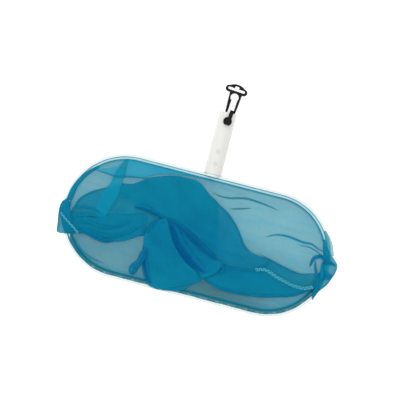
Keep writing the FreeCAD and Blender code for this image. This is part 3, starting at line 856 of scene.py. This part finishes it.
def crease(name: str, path: Points, width: float, gather: float, puff: float, lean: float = 0.5) -> Fold:
    """A narrow rolled pleat along a path, thinning to nothing at both ends.

    Args:
        name: what the pleat is.
        path: points in millimetres from the hoop's middle.
        width: its widest breadth in millimetres.
        gather: how tightly it is gathered along its heart, where a positive gather deepens its colour,
            partly as the pleat's doubled yarn and partly as painted shade in the crease; its flanks are
            open.
        puff: its height in millimetres.
        lean: where its heart runs, 0 at its right edge and 1 at its left.

    Returns:
        The pleat as a fold.
    """
    line = evenly(through(path, 12 * len(path)), max(6, 2 * len(path)))
    side = across_line(line)
    swell = np.sin(np.linspace(0, math.pi, len(line)))[:, None]
    half = 0.5 * width * np.sqrt(np.clip(swell, 0.004, 1))
    edges = np.hstack([line + side * half, line - side * half])
    return Fold(name, [tuple(row) for row in edges], puff=puff, ruffle=0.1, wave=12.0, gather=0.15 * gather,
                rolled=0.0, heart=gather, heart_at=lean)


FOLDS: tuple[Fold, ...] = (
    Fold("corner_tuck", [(-182, 61, -182, 59), (-165, 67, -164, 59), (-150, 74, -149, 58),
         (-140, 86, -137, 60), (-135, 89, -134, 61)], puff=1.2, ruffle=0.4, angle=20, gather=-0.4,
         painted_shade_and_lap=-0.45, single=True),
    Fold("rim_tuck", [(-136, 89, -136, 61), (-118, 89.5, -119, 64), (-104, 90, -103, 67),
         (-90, 90, -90, 74), (-68, 90, -68, 82), (-38, 90, -38, 87), (2, 90, 2, 88)], puff=1.2, ruffle=0.5,
         angle=80, gather=-0.35, painted_shade_and_lap=-0.45, single=True),
    Fold("throat", [(-135, 50, -136, 31), (-117, 54, -114, 26), (-103, 64, -99, 23), (-89, 72, -84, 21),
         (-59, 82, -56, 15), (-39, 84, -30, 7), (-18, 83, -5, -6), (2, 69, 12, -16), (14, 60, 24, -22),
         (24, 45, 32, -22), (31, 20, 36, -18), (36, -5, 38, -14)], ruffle=0.9, angle=100),
    Fold("cross_tuck", [(-139, 89, -134, 89.5), (-147, 70, -134, 70), (-151, 58, -134, 58),
         (-153, 46, -135, 46), (-159, 34, -136, 32), (-162, 14, -140, 14), (-161, -6, -145, -6),
         (-158, -24, -150, -24), (-155, -34, -154, -34)], puff=1.3, ruffle=0.5, angle=0, gather=-0.25,
         single=True),
    Fold("main_fold", [(-203, -12, -199, -34), (-194, 9, -186, -44), (-179, 24, -170, -43),
         (-160, 36, -150, -48), (-134, 48, -129, -44), (-117, 53, -109, -38), (-103, 63, -90, -26),
         (-89, 71, -75, -22), (-59, 81, -48, -30), (-39, 84, -30, -40), (-18, 83, -10, -50),
         (2, 69, 8, -57), (22, 56, 24, -63), (42, 44, 42, -69), (62, 24, 62, -73), (77, 4, 80, -73),
         (92, -5, 98, -71), (122, -8, 124, -68), (142, -13, 145, -62), (172, -18, 168, -56),
         (192, -13, 188, -46), (205, -9, 200, -36)], puff=2.2, ruffle=1.2, wave=34, angle=78),
    Fold("cross_over", [(-147, 70, -136, 70), (-151, 58, -135, 58), (-153, 46, -135, 46),
         (-158, 34, -136, 32), (-163, 14, -140, 14), (-164, -6, -146, -6), (-161, -24, -152, -24),
         (-158, -36, -156, -36)], puff=0.8, ruffle=0.2, angle=0, gather=-0.3, painted_shade_and_lap=-0.32, rolled=0.12,
         single=True),
    Fold("left_sweep", [(-201, -13, -197, -33), (-189, -13, -186, -43), (-169, -14, -168, -42),
         (-152, -9, -149, -48), (-137, -1, -129, -44), (-117, 3, -109, -38), (-99, 9, -92, -27),
         (-84, 13, -80, -20)], puff=1.5, ruffle=0.8, angle=65),
    Fold("right_sweep", [(50, -33, 26, -64), (66, -35, 45, -71), (84, -34, 68, -73), (104, -31, 100, -71),
         (120, -27, 122, -68), (141, -33, 142, -63), (166, -39, 167, -56), (186, -39, 187, -46),
         (199, -33, 199, -35)], puff=1.6, ruffle=0.9, wave=22, angle=80),
    Fold("petal", [(-56, 14, -54, 14), (-65, 8, -33, 7), (-74, -4, -8, -5), (-79, -18, 17, -18),
         (-78, -41, 40, -29), (-75, -52, 52, -33), (-70, -64, 46, -49), (-66, -76, 30, -62),
         (-61, -87, 15, -76), (-55, -95, -3, -92), (-45, -97, -30, -98)], puff=2.4, ruffle=1.4, wave=30,
         angle=20),
    # Painted shade: a pleat gathered at its heart, laid to darken the valley between the petal's lobes.
    crease("petal_valley", [(-44, 9), (-33, -4), (-24, -18), (-12, -30), (2, -40), (15, -47), (29, -54)],
         19.0, 0.95, 0.8, lean=0.32),
    Fold("petal_lobe", [(-57, 13, -51, 12), (-68, 5, -47, 5), (-80, -16, -35, -17), (-77, -40, -23, -31),
         (-71, -62, -7, -45), (-64, -82, 10, -54), (-55, -95, 20, -62), (-38, -99, 26, -70)], puff=1.8,
         ruffle=1.0, wave=20, angle=10),
    crease("tail_shadow", [(-77, -40), (-72, -55), (-66, -70), (-60, -83), (-50, -93)], 10.0, 1.0, 0.8),
    Fold("seam_tail", [(-75, -39, -71, -40), (-80, -50, -68, -52), (-82, -61, -72, -64),
         (-88, -69, -75, -73), (-91, -79, -79, -84), (-87, -86, -83, -87)], puff=2.4, ruffle=1.8, wave=7,
         angle=50, gather=0.1, heart=0.6, heart_at=0.35),
    crease("tail_knot", [(-91, -70), (-84, -72), (-78, -70), (-72, -64)], 3.5, 0.7, 1.2),
    Fold("left_wrap", [(-214, 4, -205, 4), (-212, 19, -203, 19), (-207, 34, -201, 29), (-200, 46, -195, 42),
         (-190, 58, -186, 54), (-178, 68, -176, 65)], puff=1.2, ruffle=0.5, wave=8, angle=90),
    Fold("left_ear", [(-212, 6, -209, 2), (-219, 0, -206, -3), (-221, -10, -205, -13),
         (-220, -22, -198, -21), (-218, -34, -190, -29), (-217, -44, -184, -37), (-216.5, -51, -185, -44),
         (-210, -51, -189, -47)], puff=2.0, ruffle=0.8, wave=12, angle=30, gather=0.12),
    Fold("left_ear_core", [(-215, 4, -209, 4), (-220, -3, -207, -4), (-220, -14, -203, -14),
         (-217, -23, -199, -23), (-213, -32, -194, -30), (-208, -40, -189, -37), (-203, -47, -190, -44)],
         puff=1.4, ruffle=0.6, wave=10, angle=30, gather=0.3),
    crease("left_ear_edge", [(-219, 0), (-220.5, -10), (-219.5, -22), (-217.5, -34), (-216.5, -50)], 2.2,
         0.7, 0.8),
    Fold("right_ear", [(199, 42, 198, 37), (209, 29, 202, 23), (219, 19, 206, 11), (229, 9, 207, 1),
         (228, -2, 208, -8), (224, -13, 207, -18), (219, -25, 205, -29), (209, -38, 203, -39),
         (205, -49, 202, -49), (204, -54, 203, -54)], puff=2.0, ruffle=0.8, wave=9, angle=40, gather=-0.25,
         painted_shade_and_lap=-0.3),
    Fold("ear_lap", [(196, 58, 194, 57), (205, 50, 197, 49), (212, 40, 201, 38), (216, 30, 203, 28),
         (219, 22, 205, 20)], puff=0.8, ruffle=0.2, wave=8, angle=40, gather=-0.4, painted_shade_and_lap=-0.2, rolled=0.05,
         single=True),
    Fold("right_ear_wedge", [(199, 44, 197, 43), (204, 32, 198, 32), (210, 22, 202, 21), (216, 12, 206, 11),
         (218, 7, 209, 5)], puff=1.2, ruffle=0.4, wave=6, angle=40, gather=-0.1, heart=0.5, heart_at=0.15),
    crease("ear_mass", [(201, -10), (209, -11), (217, -11), (225, -9)], 13.0, 0.6, 1.8),
    crease("ear_edge", [(228, 9), (228.5, 3), (226, -6), (223, -13), (218, -25), (209, -37), (204, -50)],
         2.4, 0.8, 0.8),
    crease("ear_right", [(203, 10), (205, -1), (207, -10), (207, -22), (205, -34), (202, -45), (203, -53)],
         7.0, 0.4, 1.8, lean=0.8),
    crease("ear_left", [(192, 9), (194, 0), (198, -11), (202, -22), (201, -31), (194, -38), (183, -45)],
         5.0, 0.7, 1.8),
    crease("ear_arch", [(186, -4), (187, 4), (190, 12), (197, 16), (204, 15), (215, 11), (227, 8)], 7.0,
         0.85, 1.8),
    crease("ear_ray_far", [(160, 25), (178, 26), (192, 22), (204, 17)], 2.0, 0.4, 0.8),
    crease("fan_far", [(-203, -8), (-185, -1), (-166, -1), (-153, -6)], 3.9, 0.45, 0.7),
    crease("fan_mid", [(-194, -20), (-182, -14), (-168, -10), (-155, -11)], 4.5, 0.45, 0.7),
    crease("fan_near", [(-189, -27), (-170, -23), (-146, -24), (-125, -18), (-103, -1)], 5.1, 0.45, 0.7),
    crease("fan_low", [(-183, -34), (-163, -35), (-140, -37), (-115, -29), (-91, -10)], 6.0, 0.45, 0.7),
    crease("far_ripple", [(6, 72), (22, 69), (37, 70), (52, 74), (67, 76), (92, 74), (117, 70)], 3.4, -0.6,
         0.5),
    crease("short_ripple", [(40, 53), (57, 58), (74, 63)], 2.8, -0.7, 0.5),
    crease("right_ripple", [(106, 24), (122, 32), (140, 34), (152, 33), (167, 31), (180, 32), (192, 27),
         (205, 24)], 3.4, 0.25, 1.0),
    crease("edge_far", [(8, 66), (22, 56), (42, 44), (62, 24), (77, 4), (90, -4)], 2.4, 0.1, 1.2),
    crease("edge_right", [(98, -3), (122, -8), (142, -13), (172, -18), (190, -13)], 2.0, 0.1, 1.0),
    crease("edge_left", [(-201, -12), (-194, 9), (-179, 24), (-160, 36)], 2.3, 0.1, 1.0),
    crease("hem_left", [(-187, -41), (-170, -39), (-156, -42), (-140, -45), (-124, -42)], 9.0, 0.8, 1.2),
    crease("hem_right", [(25, -64), (42, -70), (62, -73), (92, -72), (122, -68), (145, -62), (168, -56),
         (190, -44)], 5.0, 0.6, 1.2),
    crease("petal_brow_left", [(-108, 19), (-95, 21), (-84, 20), (-70, 17), (-57, 14)], 9.0, 0.95, 1.4,
         lean=0.35),
    crease("petal_brow_right", [(-55, 14), (-35, 9), (-15, -1), (8, -13), (25, -22), (42, -30)], 10.0, 0.95,
         1.4, lean=0.4),
    crease("petal_corner", [(50, -34), (55, -42), (49, -51)], 6.0, 0.5, 1.4),
    crease("petal_flank", [(-64, 10), (-73, -3), (-79, -18)], 5.0, 0.6, 1.0),
    crease("knuckle", [(101, -27), (112, -22), (119, -17), (123, -8)], 2.6, 0.3, 1.2),
    crease("seam_lead", [(64, -36), (84, -35), (103, -31)], 2.2, 0.3, 1.0),
    crease("tuck_line", [(-181, 60), (-165, 59), (-149, 58), (-136, 60), (-119, 64), (-103, 66), (-92, 72)],
         2.3, 0.3, 1.0),
    crease("rim_ripple_a", [(-196, -54), (-186, -64), (-173, -74), (-158, -82), (-138, -87)], 3.0, 0.1,
         0.9),
    crease("rim_ripple_b", [(-188, -52), (-180, -60), (-168, -70), (-150, -77), (-130, -80)], 2.4, 0.0,
         0.8),
)


@dataclass
class NetBag:
    """The mesh bag, turned through the hoop and lying in folds on it.

    Fields:
        attach: where the mouth sheet ends in the groove, as a radius in millimetres.
        sag: how far the mouth sheet hangs in its middle, in millimetres.
        flat_width: the bag's cloth along the hoop, laid flat, in metres; not used.
        flat_depth: the bag's cloth across the hoop, laid flat, in metres; not used.
        edge_turn: how far inside the groove the sheet reaches the rim's level, in millimetres.
        apron_in: the apron's inner radius; its outer one is apron_out, and wanders.
        apron_span: where the apron starts and ends, as shares of a walk round the hoop.
    """

    hoop: HoopPlan
    attach: float = 91.2
    sag: float = 2.2
    columns: int = 200
    rows: int = 110
    flat_width: float = 0.60
    flat_depth: float = 0.42
    edge_turn: float = 2.4
    apron_in: float = 88.6
    apron_out: float = 94.2
    apron_pleats: tuple[float, float] = (90.6, 93.2)
    apron_span: tuple[float, float] = (0.402, 0.872)
    relief: Relief = field(init=False)

    def mouth_sheet(self) -> Surface:
        """The single layer drawn across the mouth from the groove.

        Columns run along the hoop at x = half length sin(pi u / 2), rows from the near side to the far
        one as shares of the stadium's breadth there. The height falls from the rim's top by
        sag (1 - (r / R)^2), r being the distance from the hoop's middle segment, with low ripples,
        and at its edge the sheet turns down over the rim's inner wall into the groove.
        """
        hoop = self.hoop
        u = np.linspace(-1, 1, self.columns)
        x = (hoop.straight + self.attach) * np.sin(0.5 * math.pi * u)
        beyond = np.maximum(np.abs(x) - hoop.straight, 0)
        breadth = np.sqrt(np.maximum(self.attach ** 2 - beyond ** 2, 0.01))
        v = np.sin(0.5 * math.pi * np.linspace(-1, 1, self.rows)) * 0.6 + np.linspace(-1, 1, self.rows) * 0.4
        gx = np.broadcast_to(x[:, None], (self.columns, self.rows))
        gy = breadth[:, None] * v[None, :] + hoop.centre_y
        apart = hoop.distance(gx, gy)
        inside = np.clip(apart / (hoop.groove_in - self.edge_turn), 0, 1)
        ripples = 0.9 * ripple(gx, gy, 72, 31, 1.3) + 0.35 * ripple(gx, gy, 15, 17, 4.1)
        z = hoop.top + CLOTH_GAP - self.sag * (1 - inside ** 2) + ripples * np.clip((1 - inside) * 5, 0, 1)
        z -= 2.6 * np.clip((apart - hoop.groove_in + 0.2) / 0.9, 0, 1) ** 2
        near = np.clip((hoop.centre_y - gy) / 75 + 0.25, 0, 1)
        gathered = 0.22 * np.exp(-0.5 * ((apart - 89.2) / 0.55) ** 2)
        gathered += 0.10 * ripple(gx, gy, 72, 31, 1.3) + 0.14 * ripple(gx, gy, 84, 13, 6.0) ** 2
        # Painted shade: a band of gather 86 mm out on the near side, where the rim's inner wall shades the
        # net.
        gathered += 0.2 * near * np.exp(-((apart - 86) / 6) ** 2)
        # Painted shade: the gather rises and the holes dim towards the near side, most round x = 45 mm and
        # less past x = 120 mm.
        gather = 0.02 + 0.08 * near + gathered
        painted_shade_and_lap = (0.38 + 0.42 * np.exp(-((gx - 45) / 70) ** 2) - 0.22 * np.clip((gx - 120) / 60, 0, 1)) * near
        points = np.stack([gx, gy, z], axis=-1) * MM
        cloth = np.stack([gx, gy], axis=-1) * MM
        return Surface.of_net(points, gather, painted_shade_and_lap, cloth=cloth)

    def near_apron(self) -> Surface:
        """The net's edge lying out over the near side of the rim, in one layer.

        It runs from inside the rim to the groove's outer wall, round the near half of both ends. Its
        outer edge wanders by three sines, and two pleats run along it.
        """
        hoop = self.hoop
        turn = np.linspace(*self.apron_span, 420)
        share = np.linspace(0, 1, 13)
        ends = np.clip(np.sin(math.pi * np.linspace(0, 1, len(turn))) * 9, 0.03, 1)
        wander = 0.5 * np.sin(290 * turn) + 0.35 * np.sin(713 * turn + 1) + 0.25 * np.sin(1310 * turn + 2)
        breadth = self.apron_out + wander - self.apron_in
        radius = self.apron_in + breadth[:, None] * share[None, :] * ends[:, None]
        plan = np.stack([hoop.ring(turn, radius[:, k]) for k in range(len(share))], axis=1)
        first, second = self.apron_pleats
        pleat = np.exp(-((radius - first) / 0.7) ** 2) + np.exp(-((radius - second) / 0.6) ** 2)
        level = hoop.top + 0.5 + 0.5 * pleat + 0.3 * wander[:, None] * share[None, :]
        points = lifted(plan, level)
        gather = -0.3 + 0.2 * pleat
        # Painted shade: the apron's holes are dimmed and its yarn darkened all along it, by a
        # painted_shade_and_lap of 0.35.
        return Surface(points, cloth_lengths(points), gather, np.full(gather.shape, 0.35))

    def lay_sheet(self, sheet: Surface) -> None:
        """Raise the relief to the mouth sheet."""
        self.relief = Relief(self.hoop)
        x, y = self.relief.positions()
        inside = self.hoop.distance(x, y) < self.hoop.groove_in
        apart = np.clip(self.hoop.distance(x, y) / (self.hoop.groove_in - self.edge_turn), 0, 1)
        level = self.hoop.top + CLOTH_GAP - self.sag * (1 - apart ** 2) + 0.9 * ripple(x, y, 72, 31, 1.3)
        self.relief.height = np.where(inside, level, self.relief.height)

    def build(self) -> bpy.types.Object:
        """Build the mouth sheet and every fold on it as one piece of net."""
        sheet = self.mouth_sheet()
        self.lay_sheet(sheet)
        surfaces = [sheet, self.near_apron()] + [fold.build(self.relief) for fold in FOLDS]
        return make_piece("net_bag_mesh", surfaces, Stock.NET)

    def dress(self, piece: bpy.types.Object) -> None:
        stand_for(piece, "net_bag")


@dataclass
class HemTape:
    """The bag's gathered hem, pressed round the bead in the rim's groove.

    Fields:
        samples: how many sections there are round the groove.
        raw_from: the radius in millimetres outside which the hem's raw edge lies on the rim.
        raw_far: how much of the raw edge shows on the far side, and raw_near on the near side.
    """

    hoop: HoopPlan
    samples: int = 620
    raw_from: float = 95.3
    raw_far: float = 0.15
    raw_near: float = 0.6

    def build(self) -> bpy.types.Object:
        """Carry the hem's section round the groove.

        The section comes up the groove's inner wall, dips under the bead and comes up outside it, where
        its raw edge lies on the rim's top. Its offset swells and shrinks along the way by three sines.
        """
        hoop = self.hoop
        turn = np.linspace(0, 1, self.samples, endpoint=False)
        bead = hoop.top - 2.6
        profile = np.array([(90.0, hoop.top + 0.35), (90.62, hoop.top - 0.2), (90.66, bead - 0.4),
                            (91.2, bead - 2.2), (92.9, bead - 2.75), (94.6, bead - 2.2), (95.12, bead - 0.4),
                            (95.16, hoop.top - 0.1), (95.6, hoop.top + 0.3), (96.6, hoop.top + 0.35)])
        section = evenly(through([tuple(row) for row in profile], 80), 22)
        wander = np.sin(2 * math.pi * 41 * turn) * 0.25 + np.sin(2 * math.pi * 17 * turn + 1) * 0.3
        raw = np.clip(0.75 + 0.5 * np.sin(2 * math.pi * 3 * turn + 0.6) + wander, 0.05, 1.7)
        is_far = hoop.ring(turn, hoop.bead_path)[:, 1] > hoop.centre_y
        raw *= np.where(is_far, self.raw_far, self.raw_near)
        radius, height = section[None, :, 0], section[None, :, 1]
        past = radius - self.raw_from
        reach = np.where(past > 0, self.raw_from + past * raw[:, None], radius)
        level = height + 0.12 * np.sin(2 * math.pi * 160 * turn)[:, None] * (height > hoop.top - 0.5)
        plan = np.stack([hoop.ring(turn, reach[:, k]) for k in range(len(section))], axis=1)
        points = np.swapaxes(lifted(plan, level), 0, 1)
        wide = np.full(points.shape[:2], -0.4)
        tape = Surface(points, cloth_lengths(points), wide, 0 * wide, closed=True)
        return make_piece("hem_tape", [tape], Stock.NET)

    def dress(self, piece: bpy.types.Object) -> None:
        stand_for(piece, "net_hem")


@dataclass
class OverlockSeam:
    """One overlocked side seam: a raised ridge of net with thread zigzagged over it."""

    name: str
    node: str
    path: Points
    relief: Relief
    width: float = 3.6
    pitch: float = 6.2
    thread: float = 0.6

    def frame_of(self, count: int) -> tuple[Array, Array]:
        """Sample the seam's middle line and the direction across it.

        Args:
            count: how many samples to take.

        Returns:
            Plan positions and unit vectors across, in row millimetres.
        """
        line = evenly(through(self.path, 160), count) + np.array([0.0, self.relief.hoop.centre_y])
        return line, across_line(line)

    def ground(self, plan: Array) -> Array:
        """Height of what the seam lies on."""
        return self.relief.at(self.relief.softened(2), plan[..., 0], plan[..., 1])

    def build(self) -> list[bpy.types.Object]:
        """Build the ridge and the thread."""
        length = np.linalg.norm(np.diff(np.asarray(self.path, float), axis=0), axis=1).sum()
        rows = int(length / 1.2)
        line, side = self.frame_of(rows)
        q = np.linspace(0, 2 * math.pi, 20, endpoint=False)
        ends = np.sqrt(np.clip(np.sin(np.linspace(0, math.pi, rows)) * 6, 0.01, 1))[:, None]
        plan = line[:, None] + side[:, None] * (0.5 * self.width * np.cos(q)[None, :] * ends)[..., None]
        z = self.ground(plan) + 0.3 + (0.75 + 0.75 * np.sin(q))[None, :] * ends
        ridge_net = Surface.of_net(lifted(plan, z), 0.4, closed=True)
        ridge = make_piece(self.name + "_ridge", [ridge_net], Stock.NET)
        count = int(length / self.pitch * 28)
        line, side = self.frame_of(count)
        phase = np.linspace(0, length / self.pitch, count)
        swing = np.tanh(3.2 * np.sin(2 * math.pi * phase)) / math.tanh(3.2)
        plan = line + side * (0.5 * self.width + 0.1) * swing[:, None]
        z = self.ground(plan) + 0.35 + 1.5 * np.sqrt(np.clip(1 - 0.92 * swing ** 2, 0, 1)) + 0.25
        zigzag = tube(lifted(plan, z), self.thread * MM)
        chains = []
        for way in (-1, 1):
            loop = 0.35 * np.sin(2 * math.pi * phase * 2)
            edge = line + side * (way * 0.5 * self.width + loop[:, None])
            level = self.ground(edge) + 0.9 + 0.3 * np.cos(2 * math.pi * phase * 2)
            chains.append(tube(lifted(edge, level), 0.45 * self.thread * MM))
        stitching = make_piece(self.name + "_thread", [zigzag] + chains, Stock.THREAD)
        return [ridge, stitching]

    def dress(self, pieces: list[bpy.types.Object]) -> None:
        """Set what the seam stands for."""
        for piece in pieces:
            stand_for(piece, self.node)


LEFT_SEAM: Points = [(-217, -19), (-206, -27), (-195, -34), (-186, -40), (-182, -43)]
RIGHT_SEAM: Points = [(104, -30), (112, -27), (120, -26), (130, -29), (141, -33), (154, -36), (167, -39),
                      (184, -39), (192, -36), (198, -33)]


@dataclass
class HardParts:
    """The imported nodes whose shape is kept, each given its finish."""

    finishes: dict[Stock, tuple[str, ...]] = field(default_factory=lambda: {
        Stock.RIM: ("hoop_frame",),
        Stock.TUBE: ("handle_socket",),
        Stock.STEEL: ("socket_screws",),
        Stock.BEAD: ("net_spline",),
        Stock.CLIP: ("clip_spring", "clip_leg", "clip_button"),
        Stock.BLACK: ("hanger_body", "hanger_tongue"),
    })

    def dress(self) -> None:
        """Put each finish on its nodes' material slots."""
        for stock, names in self.finishes.items():
            for part in [o for o in bpy.data.objects if o.name.split(".")[0] in names]:
                if not part.material_slots:
                    part.data.materials.append(None)
                for slot in part.material_slots:
                    slot.material = stock.material()
                LOG.info("%s dressed as %s", part.name, stock.name)


# --------------------------------------------------------------------------- studio

@dataclass
class Studio:
    """The floor, the light and the camera straight above."""

    floor_half: float = 2.5
    look_at: tuple[float, float] = (-8.8, -44.8)
    roll: float = 14.5
    height: float = 1.9
    field_mm: float = 640.0
    floor_gap: float = 0.0002
    key_place: tuple[float, float, float] = (-0.7, 0.75, 1.5)
    key_power: float = 9.0
    key_size: float = 1.6

    def build(self, floor_level: float) -> None:
        """Set the floor, lights and camera.

        Args:
            floor_level: the level of the object's underside in metres.
        """
        s = self.floor_half
        floor_level -= self.floor_gap
        mesh = bpy.data.meshes.new("floor")
        corners = [(x * s, y * s, floor_level) for x, y in ((-1, -1), (1, -1), (1, 1), (-1, 1))]
        mesh.from_pydata(corners, [], [(0, 1, 2, 3)])
        floor = add_object("floor", mesh)
        material, tree = empty_material("backlit_white_acrylic")
        shader = node(tree, "BsdfPrincipled", {
            "Base Color": linear("FDFDFD"), "Roughness": 0.9, "Specular IOR Level": 0.1,
            "Emission Color": linear("FFFFFF"), "Emission Strength": 0.28})
        node(tree, "OutputMaterial", {"Surface": shader})
        mesh.materials.append(material)
        self.light()
        self.camera(floor_level)

    def light(self) -> None:
        """A white dome, dimmer towards the horizon, with one large soft key from the far left."""
        world = bpy.data.worlds.new("studio")
        bpy.context.scene.world = world
        world.use_nodes = True
        tree = world.node_tree
        tree.nodes.clear()
        way = node(tree, "TexCoord", out="Generated")
        upward = node(tree, "SeparateXYZ", {"Vector": way}, out="Z")
        sky = node(tree, "Background", {"Strength": spread(tree, upward, (0.0, 0.9), (0.72, 1.3))})
        node(tree, "OutputWorld", {"Surface": sky})
        key = bpy.data.lights.new("key", "AREA")
        key.energy = self.key_power
        key.size = self.key_size
        lamp = add_object("key", key)
        lamp.location = self.key_place
        aim = np.array([0.0, -0.1, 0.0]) - np.array(self.key_place)
        lamp.rotation_euler = (math.atan2(math.hypot(aim[0], aim[1]), -aim[2]), 0.0,
                               math.atan2(aim[1], aim[0]) - math.pi / 2)
        bpy.context.scene.view_settings.view_transform = "Standard"

    def camera(self, floor_level: float) -> None:
        """Look straight down, turned so that the hoop's long axis falls to the right."""
        data = bpy.data.cameras.new("camera")
        data.sensor_width = 36.0
        data.lens = 36.0 * self.height / (self.field_mm * MM)
        camera = add_object("camera", data)
        camera.location = (self.look_at[0] * MM, self.look_at[1] * MM, floor_level + self.height)
        camera.rotation_euler = (0.0, 0.0, math.radians(self.roll))
        bpy.context.scene.camera = camera


def main() -> None:
    """Build and dress the skimmer, then set the studio round it."""
    logging.basicConfig(level=logging.INFO, format="%(message)s")
    hoop = HoopPlan.read()
    LOG.info("hoop %s", hoop)
    HardParts().dress()
    bag = NetBag(hoop)
    bag.dress(bag.build())
    tape = HemTape(hoop)
    tape.dress(tape.build())
    for seam in (OverlockSeam("seam_left", "side_seam_left", LEFT_SEAM, bag.relief, width=1.7),
                 OverlockSeam("seam_right", "side_seam_right", RIGHT_SEAM, bag.relief, width=3.6)):
        seam.dress(seam.build())
    Studio().build(float(CAD_BOX[0][2]))


if __name__ == "__main__":
    main()
